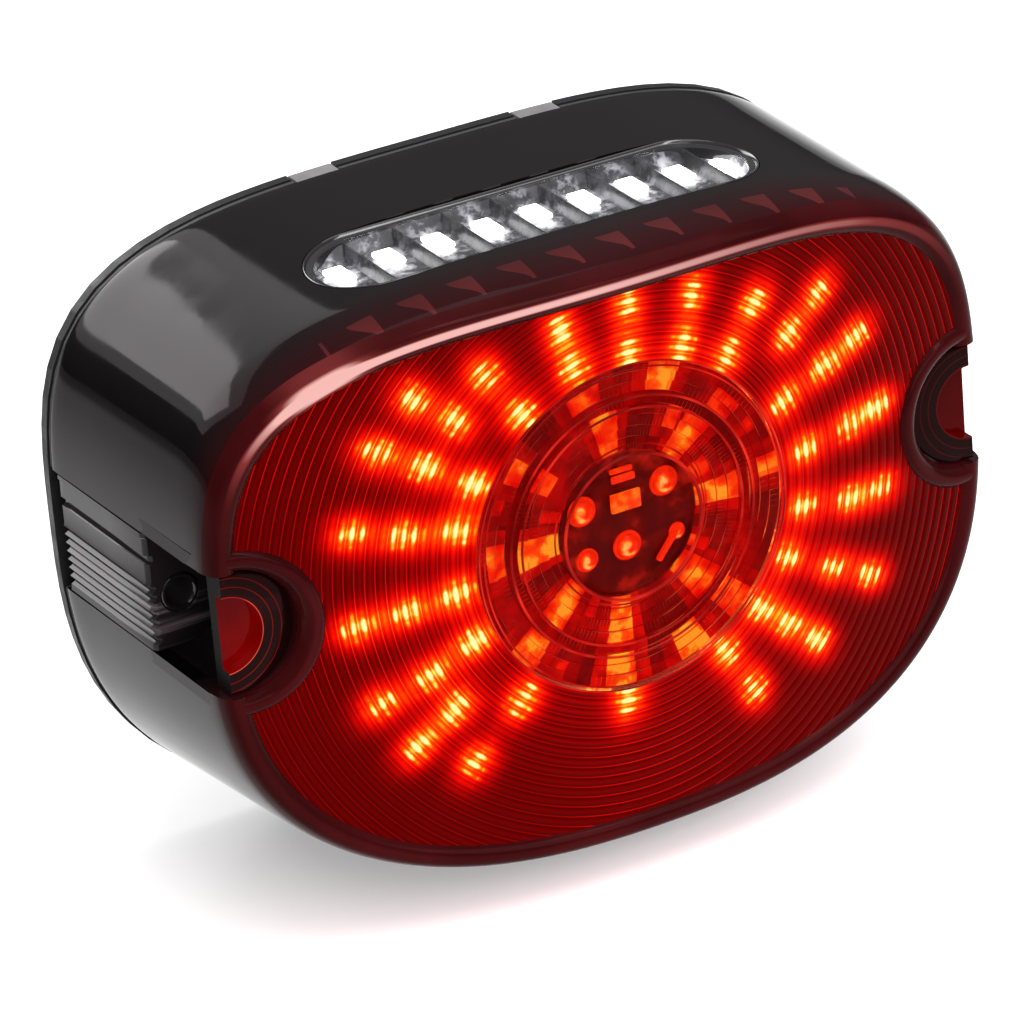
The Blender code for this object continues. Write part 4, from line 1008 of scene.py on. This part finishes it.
def make_plate_lamp():
    places = [(i - 4) * LED_PITCH + LED_SHIFT[0] for i in range(9)]
    half_length, half_width = WINDOW_HALF_LENGTH - 1.2, WINDOW_HALF_WIDTH - 1.2
    floor_x = np.linspace(-half_length, half_length, 241)
    floor_y = np.linspace(-half_width, half_width, 33)
    points = [(x, -WINDOW_DEPTH + y, tray_level(x, -WINDOW_DEPTH + y)) for y in floor_y for x in floor_x]
    faces = grid_faces(len(floor_y), len(floor_x), close_columns=False)
    pieces = [add_mesh("tray_floor", points, faces, cell_tray)]
    last = half_length - 0.5
    for i in range(10):
        x = (i - 4.5) * LED_PITCH + LED_SHIFT[0]
        pieces.append(cell_wall(min(max(x, -last), last), half_width))
    pieces += [long_wall(side, half_length, half_width) for side in (-1, 1)]
    for piece in pieces:
        set_tray_glow(piece, places)
    finish_piece(merged("cell_tray", pieces), "chrome", "plate_cell_frame")
    leds = []
    y = LED_SHIFT[1] - WINDOW_DEPTH
    for x in places:
        level = tray_level(x, y)
        low, high = (x - 1.6, y - 2.6, level + 0.1), (x + 1.6, y + 2.6, level + 0.9)
        leds.append(rounded_box("led", low, high, white_led, 0.35))
    finish_piece(merged("white_leds", leds), "white_led", "plate_led_strip")


def tray_level(x, y):
    """Height of the tray's floor, which follows the crown of the top wall."""
    return top_z(x, y) - TRAY_DROP


def cell_wall(x, half_width):
    """A divider between two cells: thin at its top, with a small step."""
    steps = 24
    points = []
    for i in range(steps + 1):
        y = -WINDOW_DEPTH + mix(-half_width, half_width, i / steps)
        for dx, dz in ((-0.8, 0.0), (-0.45, 1.0), (-0.16, 1.9), (0.16, 1.9), (0.45, 1.0), (0.8, 0.0)):
            points.append((x + dx, y, tray_level(x, y) + dz))
    return add_mesh("cell_wall", points, grid_faces(steps + 1, 6, close_columns=False), cell_tray, sharp=20)


def long_wall(side, half_length, half_width):
    steps = 160
    points = []
    for i in range(steps + 1):
        x = mix(-half_length, half_length, i / steps)
        for dy, dz in ((0.0, 2.1), (-0.5, 1.9), (-1.1, 1.0), (-2.0, 0.0)):
            y = -WINDOW_DEPTH + side * (half_width + dy)
            points.append((x, y, tray_level(x, y) + dz))
    return add_mesh("long_wall", points, grid_faces(steps + 1, 4, close_columns=False), cell_tray, sharp=20)


def set_tray_glow(piece, places):
    """Light round each lamp, with faint rays."""
    points = points_of(piece)
    glow = np.zeros(len(points))
    for x in places:
        dx, dy = points[:, 0] - x, points[:, 1] + WINDOW_DEPTH - LED_SHIFT[1]
        away = np.sqrt(dx ** 2 + (0.5 * dy) ** 2)
        star = 0.55 + 0.45 * np.abs(np.cos(4 * np.arctan2(dy, dx) + 0.4)) ** 3
        glow = np.maximum(glow, 1.35 * np.exp(-((away / 2.7) ** 2)) + 0.40 * star * np.exp(-away / 2.8))
    set_values(piece, "glow", glow)


def stadium_loop(half_length, half_width, level):
    return [(x, y, top_z(x, y) + level) for x, y in stadium(half_length, half_width, WINDOW_STEPS)]


def make_window():
    """The clear slot cover and the dark moulded rim round it."""
    length, width = WINDOW_HALF_LENGTH, WINDOW_HALF_WIDTH
    count = 2 * WINDOW_STEPS
    profile = [(0.0, -2.4), (0.0, -0.05), (0.06, 0.06), (0.16, 0.1)]
    profile += [(0.3, 0.0), (0.5, -0.4), (1.5, -0.75), (1.5, -2.4)]
    points = []
    for inset, level in profile:
        points += stadium_loop(length - 0.15 - inset, width - 0.15 - inset, level)
    rim = add_mesh("window_rim", points, grid_faces(len(profile), count, close_rows=True), black_gloss)
    finish_piece(rim, "black_rubber", "window_gasket")
    profile = ((1.7, -0.7), (1.7, -0.25), (1.9, -0.1), (3.0, -0.05), (5.0, -0.05), (7.4, -0.05))
    points = []
    for inset, level in profile:
        points += stadium_loop(length - inset, width - inset, level)
    faces = grid_faces(len(profile), count)
    first = (len(profile) - 1) * count
    last = first + count - 1
    faces += [(first + i, first + i + 1, last - i - 1, last - i) for i in range(WINDOW_STEPS - 1)]
    finish_piece(add_mesh("window_glass", points, faces, window_clear), "clear_lens", "plate_window")


# Pockets

def make_shelves():
    """The shelf near the front of each pocket, its half-round recess cut off straight at the outer side."""
    radius = POCKET_RADIUS - 0.3
    front, back = SHELF_FLOOR + SHELF_RIM, SHELF_FLOOR - SHELF_THICKNESS
    arc = pocket_arc(radius, 64)
    edge = [(SHELF_EDGE, POCKET_Z + radius - i * radius / 16) for i in range(33)]
    for word, side in SIDES:
        points = []
        for y, inset in ((-back, 0.0), (-front + 0.4, 0.0), (-front + 0.1, 0.12), (-front, 0.4)):
            away = 1 - inset / radius
            points += [(side * mix(POCKET_CENTRE, x, away), y, mix(POCKET_Z, z, away)) for x, z in arc]
            points += [(side * x, y, mix(POCKET_Z, z, away)) for x, z in edge]
        faces = capped_faces(4, len(arc) + len(edge))
        shelf = turned_out(add_mesh(f"shelf_{word}", points, faces, lit_shelf, sharp=None))
        recess = circle(side * SHELF_EDGE, POCKET_Z, RECESS_RADIUS, 96)
        carve(shelf, cutter("recess", recess, -DEPTH - 4, -SHELF_FLOOR))
        shelf.data.materials.append(dull_black)
        for face in shelf.data.polygons:
            if abs(face.normal.x) > 0.9 and abs(face.center.x) > (SHELF_EDGE - 0.3) * MM:
                face.material_index = 1
        smooth(shelf, 35)
        finish_piece(shelf, "black_plastic", f"pocket_shelf_{word}")


def make_sleeves():
    """The sleeve in each ribbed block, with a rounded mouth."""
    y, bore, outer = -BLOCK_FRONT, SLEEVE_BORE_RADIUS, SLEEVE_RADIUS
    profile = [(bore, -2.2), (bore, y + 0.4), (bore + 0.15, y + 0.1), (bore + 0.4, y - 0.1)]
    profile += [(outer - 0.3, y - 0.1), (outer - 0.05, y + 0.15), (outer, y + 0.5), (outer, -2.2)]
    for word, side in SIDES:
        sleeve = lathe(f"sleeve_{word}", profile, black_gloss, segments=72, centre=(side * SCREW_X, SCREW_Z))
        finish_piece(sleeve, "steel", f"threaded_sleeve_{word}")


def rib_profile(radius):
    """The block's outer side as (height, depth) points: flats and a groove above, fine ribs below."""
    upper = [(1.0, 0.0), (0.93, 0.0), (0.9, 0.25), (0.62, 0.25)]
    upper += [(0.6, 0.9), (0.5, 0.9), (0.47, 0.3), (0.18, 0.3)]
    made = [(share * radius, depth) for share, depth in upper]
    ribs, steps = 7, 6
    for i in range(ribs * steps + 1):
        share = i / (ribs * steps)
        z = mix(0.12 * radius, -0.9 * radius, share)
        made.append((z, 0.75 * abs(math.sin(math.pi * ribs * share)) ** 0.7 + 0.15))
    made.append((-radius, 0.0))
    return made


def make_blocks():
    """The clear block in the rear of each pocket, with fine ribs on the lower half of its outer side."""
    radius = POCKET_RADIUS - 0.3
    edge = rib_profile(radius)
    arc = pocket_arc(radius, 32)
    front = -BLOCK_FRONT
    levels = [(front, 0.5), (front + 0.5, 0.1), (front + 1.0, 0.0), (-20.0, 0.0), (-BLOCK_BACK, 0.0)]
    for word, side in SIDES:
        points = []
        for y, inset in levels:
            points += [(side * x, y, z) for x, z in arc]
            for z, depth in edge:
                height = POCKET_Z + z
                points.append((side * (wall_x(height, -y / DEPTH) - 0.1 - depth - inset), y, height))
        faces = capped_faces(len(levels), len(arc) + len(edge))
        block = turned_out(add_mesh(f"ribbed_block_{word}", points, faces, block_clear, sharp=30))
        hole = circle(side * SCREW_X, SCREW_Z, SLEEVE_RADIUS + 0.1, 48)
        carve(block, cutter("bore", hole, -BLOCK_FRONT - 2, 1))
        smooth(block, 30)
        finish_piece(block, "clear_lens", f"side_block_{word}")


# Studio

def add_floor():
    half, low = 6000.0, cad_box[0].z / MM - 0.6
    corners = [(-half, -half, low), (half, -half, low), (half, half, low), (-half, half, low)]
    add_mesh("floor", corners, [(0, 1, 2, 3)], pale_floor, sharp=None)


def area_light(name, place, target, width, height, power, colour=(1, 1, 1), shadow=True):
    data = bpy.data.lights.new(name, "AREA")
    data.shape = "RECTANGLE"
    data.size, data.size_y = width, height
    data.energy = power
    data.color = colour
    data.use_shadow = shadow
    light = linked(name, data)
    light.location = place
    light.rotation_euler = (Vector(target) - Vector(place)).to_track_quat("-Z", "Y").to_euler()


def add_lights():
    world = bpy.data.worlds.new("studio")
    bpy.context.scene.world = world
    world.use_nodes = True
    nodes, links = world.node_tree.nodes, world.node_tree.links
    place = nodes.new("ShaderNodeTexCoord")
    split = nodes.new("ShaderNodeSeparateXYZ")
    links.new(place.outputs["Generated"], split.inputs[0])
    ramp = nodes.new("ShaderNodeValToRGB")
    links.new(split.outputs["Z"], ramp.inputs[0])
    low, high = ramp.color_ramp.elements
    low.position, low.color = 0.0, (0.10, 0.10, 0.105, 1)
    high.position, high.color = 0.9, (1.0, 1.0, 1.0, 1)
    links.new(ramp.outputs["Color"], nodes["Background"].inputs["Color"])
    nodes["Background"].inputs["Strength"].default_value = 0.9
    area_light("overhead", (0.15, -0.3, 1.1), (0, 0, 0), 1.2, 1.0, 7.5)
    area_light("back_left", (-0.34, 0.92, 0.52), (-0.03, -0.03, 0.03), 0.9, 0.32, 7.0, shadow=False)
    area_light("back_left_soft", (-0.36, 1.0, 0.62), (-0.03, -0.03, 0.03), 1.2, 0.7, 6.0, shadow=False)
    area_light("front_top", (0.25, -0.55, 0.75), (0, -0.05, 0.04), 0.14, 0.6, 3.5)
    area_light("front_fill", (0.1, -1.3, 0.6), (0, -0.1, -0.05), 1.4, 0.7, 15.0)
    pink = (1.0, 0.28, 0.36)
    area_light("red_glow", (-0.01, -0.088, -0.018), (-0.012, -0.052, -0.0576), 0.14, 0.03, 0.02, pink)


def add_camera():
    azimuth, elevation, roll = math.radians(-27.135), math.radians(25.544), math.radians(-4.99)
    distance = 0.8459
    target = Vector((-0.02642, -0.07108, 0.01547))
    flat = math.cos(elevation)
    back = Vector((math.sin(azimuth) * flat, -math.cos(azimuth) * flat, math.sin(elevation)))
    right = Vector((math.cos(azimuth), math.sin(azimuth), 0))
    up = right.cross(-back)
    across = right * math.cos(roll) + up * math.sin(roll)
    upward = up * math.cos(roll) - right * math.sin(roll)
    data = bpy.data.cameras.new("camera")
    data.sensor_width = 36.0
    data.lens = 210.94
    data.clip_start = 0.01
    data.clip_end = 50.0
    camera = linked("camera", data)
    matrix = Matrix((across, upward, back)).transposed().to_4x4()
    matrix.translation = target + back * distance
    camera.matrix_world = matrix
    bpy.context.scene.camera = camera


bpy.context.scene.view_settings.view_transform = "Standard"
bpy.context.scene.view_settings.look = "None"
dress_cad_nodes()
add_camera()
add_floor()
add_lights()
make_shell()
for word, side in SIDES:
    make_pocket_wall(word, side)
make_face()
make_reflector()
make_centre_rings()
make_edge_lines()
make_cluster()
make_plate_lamp()
make_window()
make_shelves()
make_sleeves()
make_blocks()
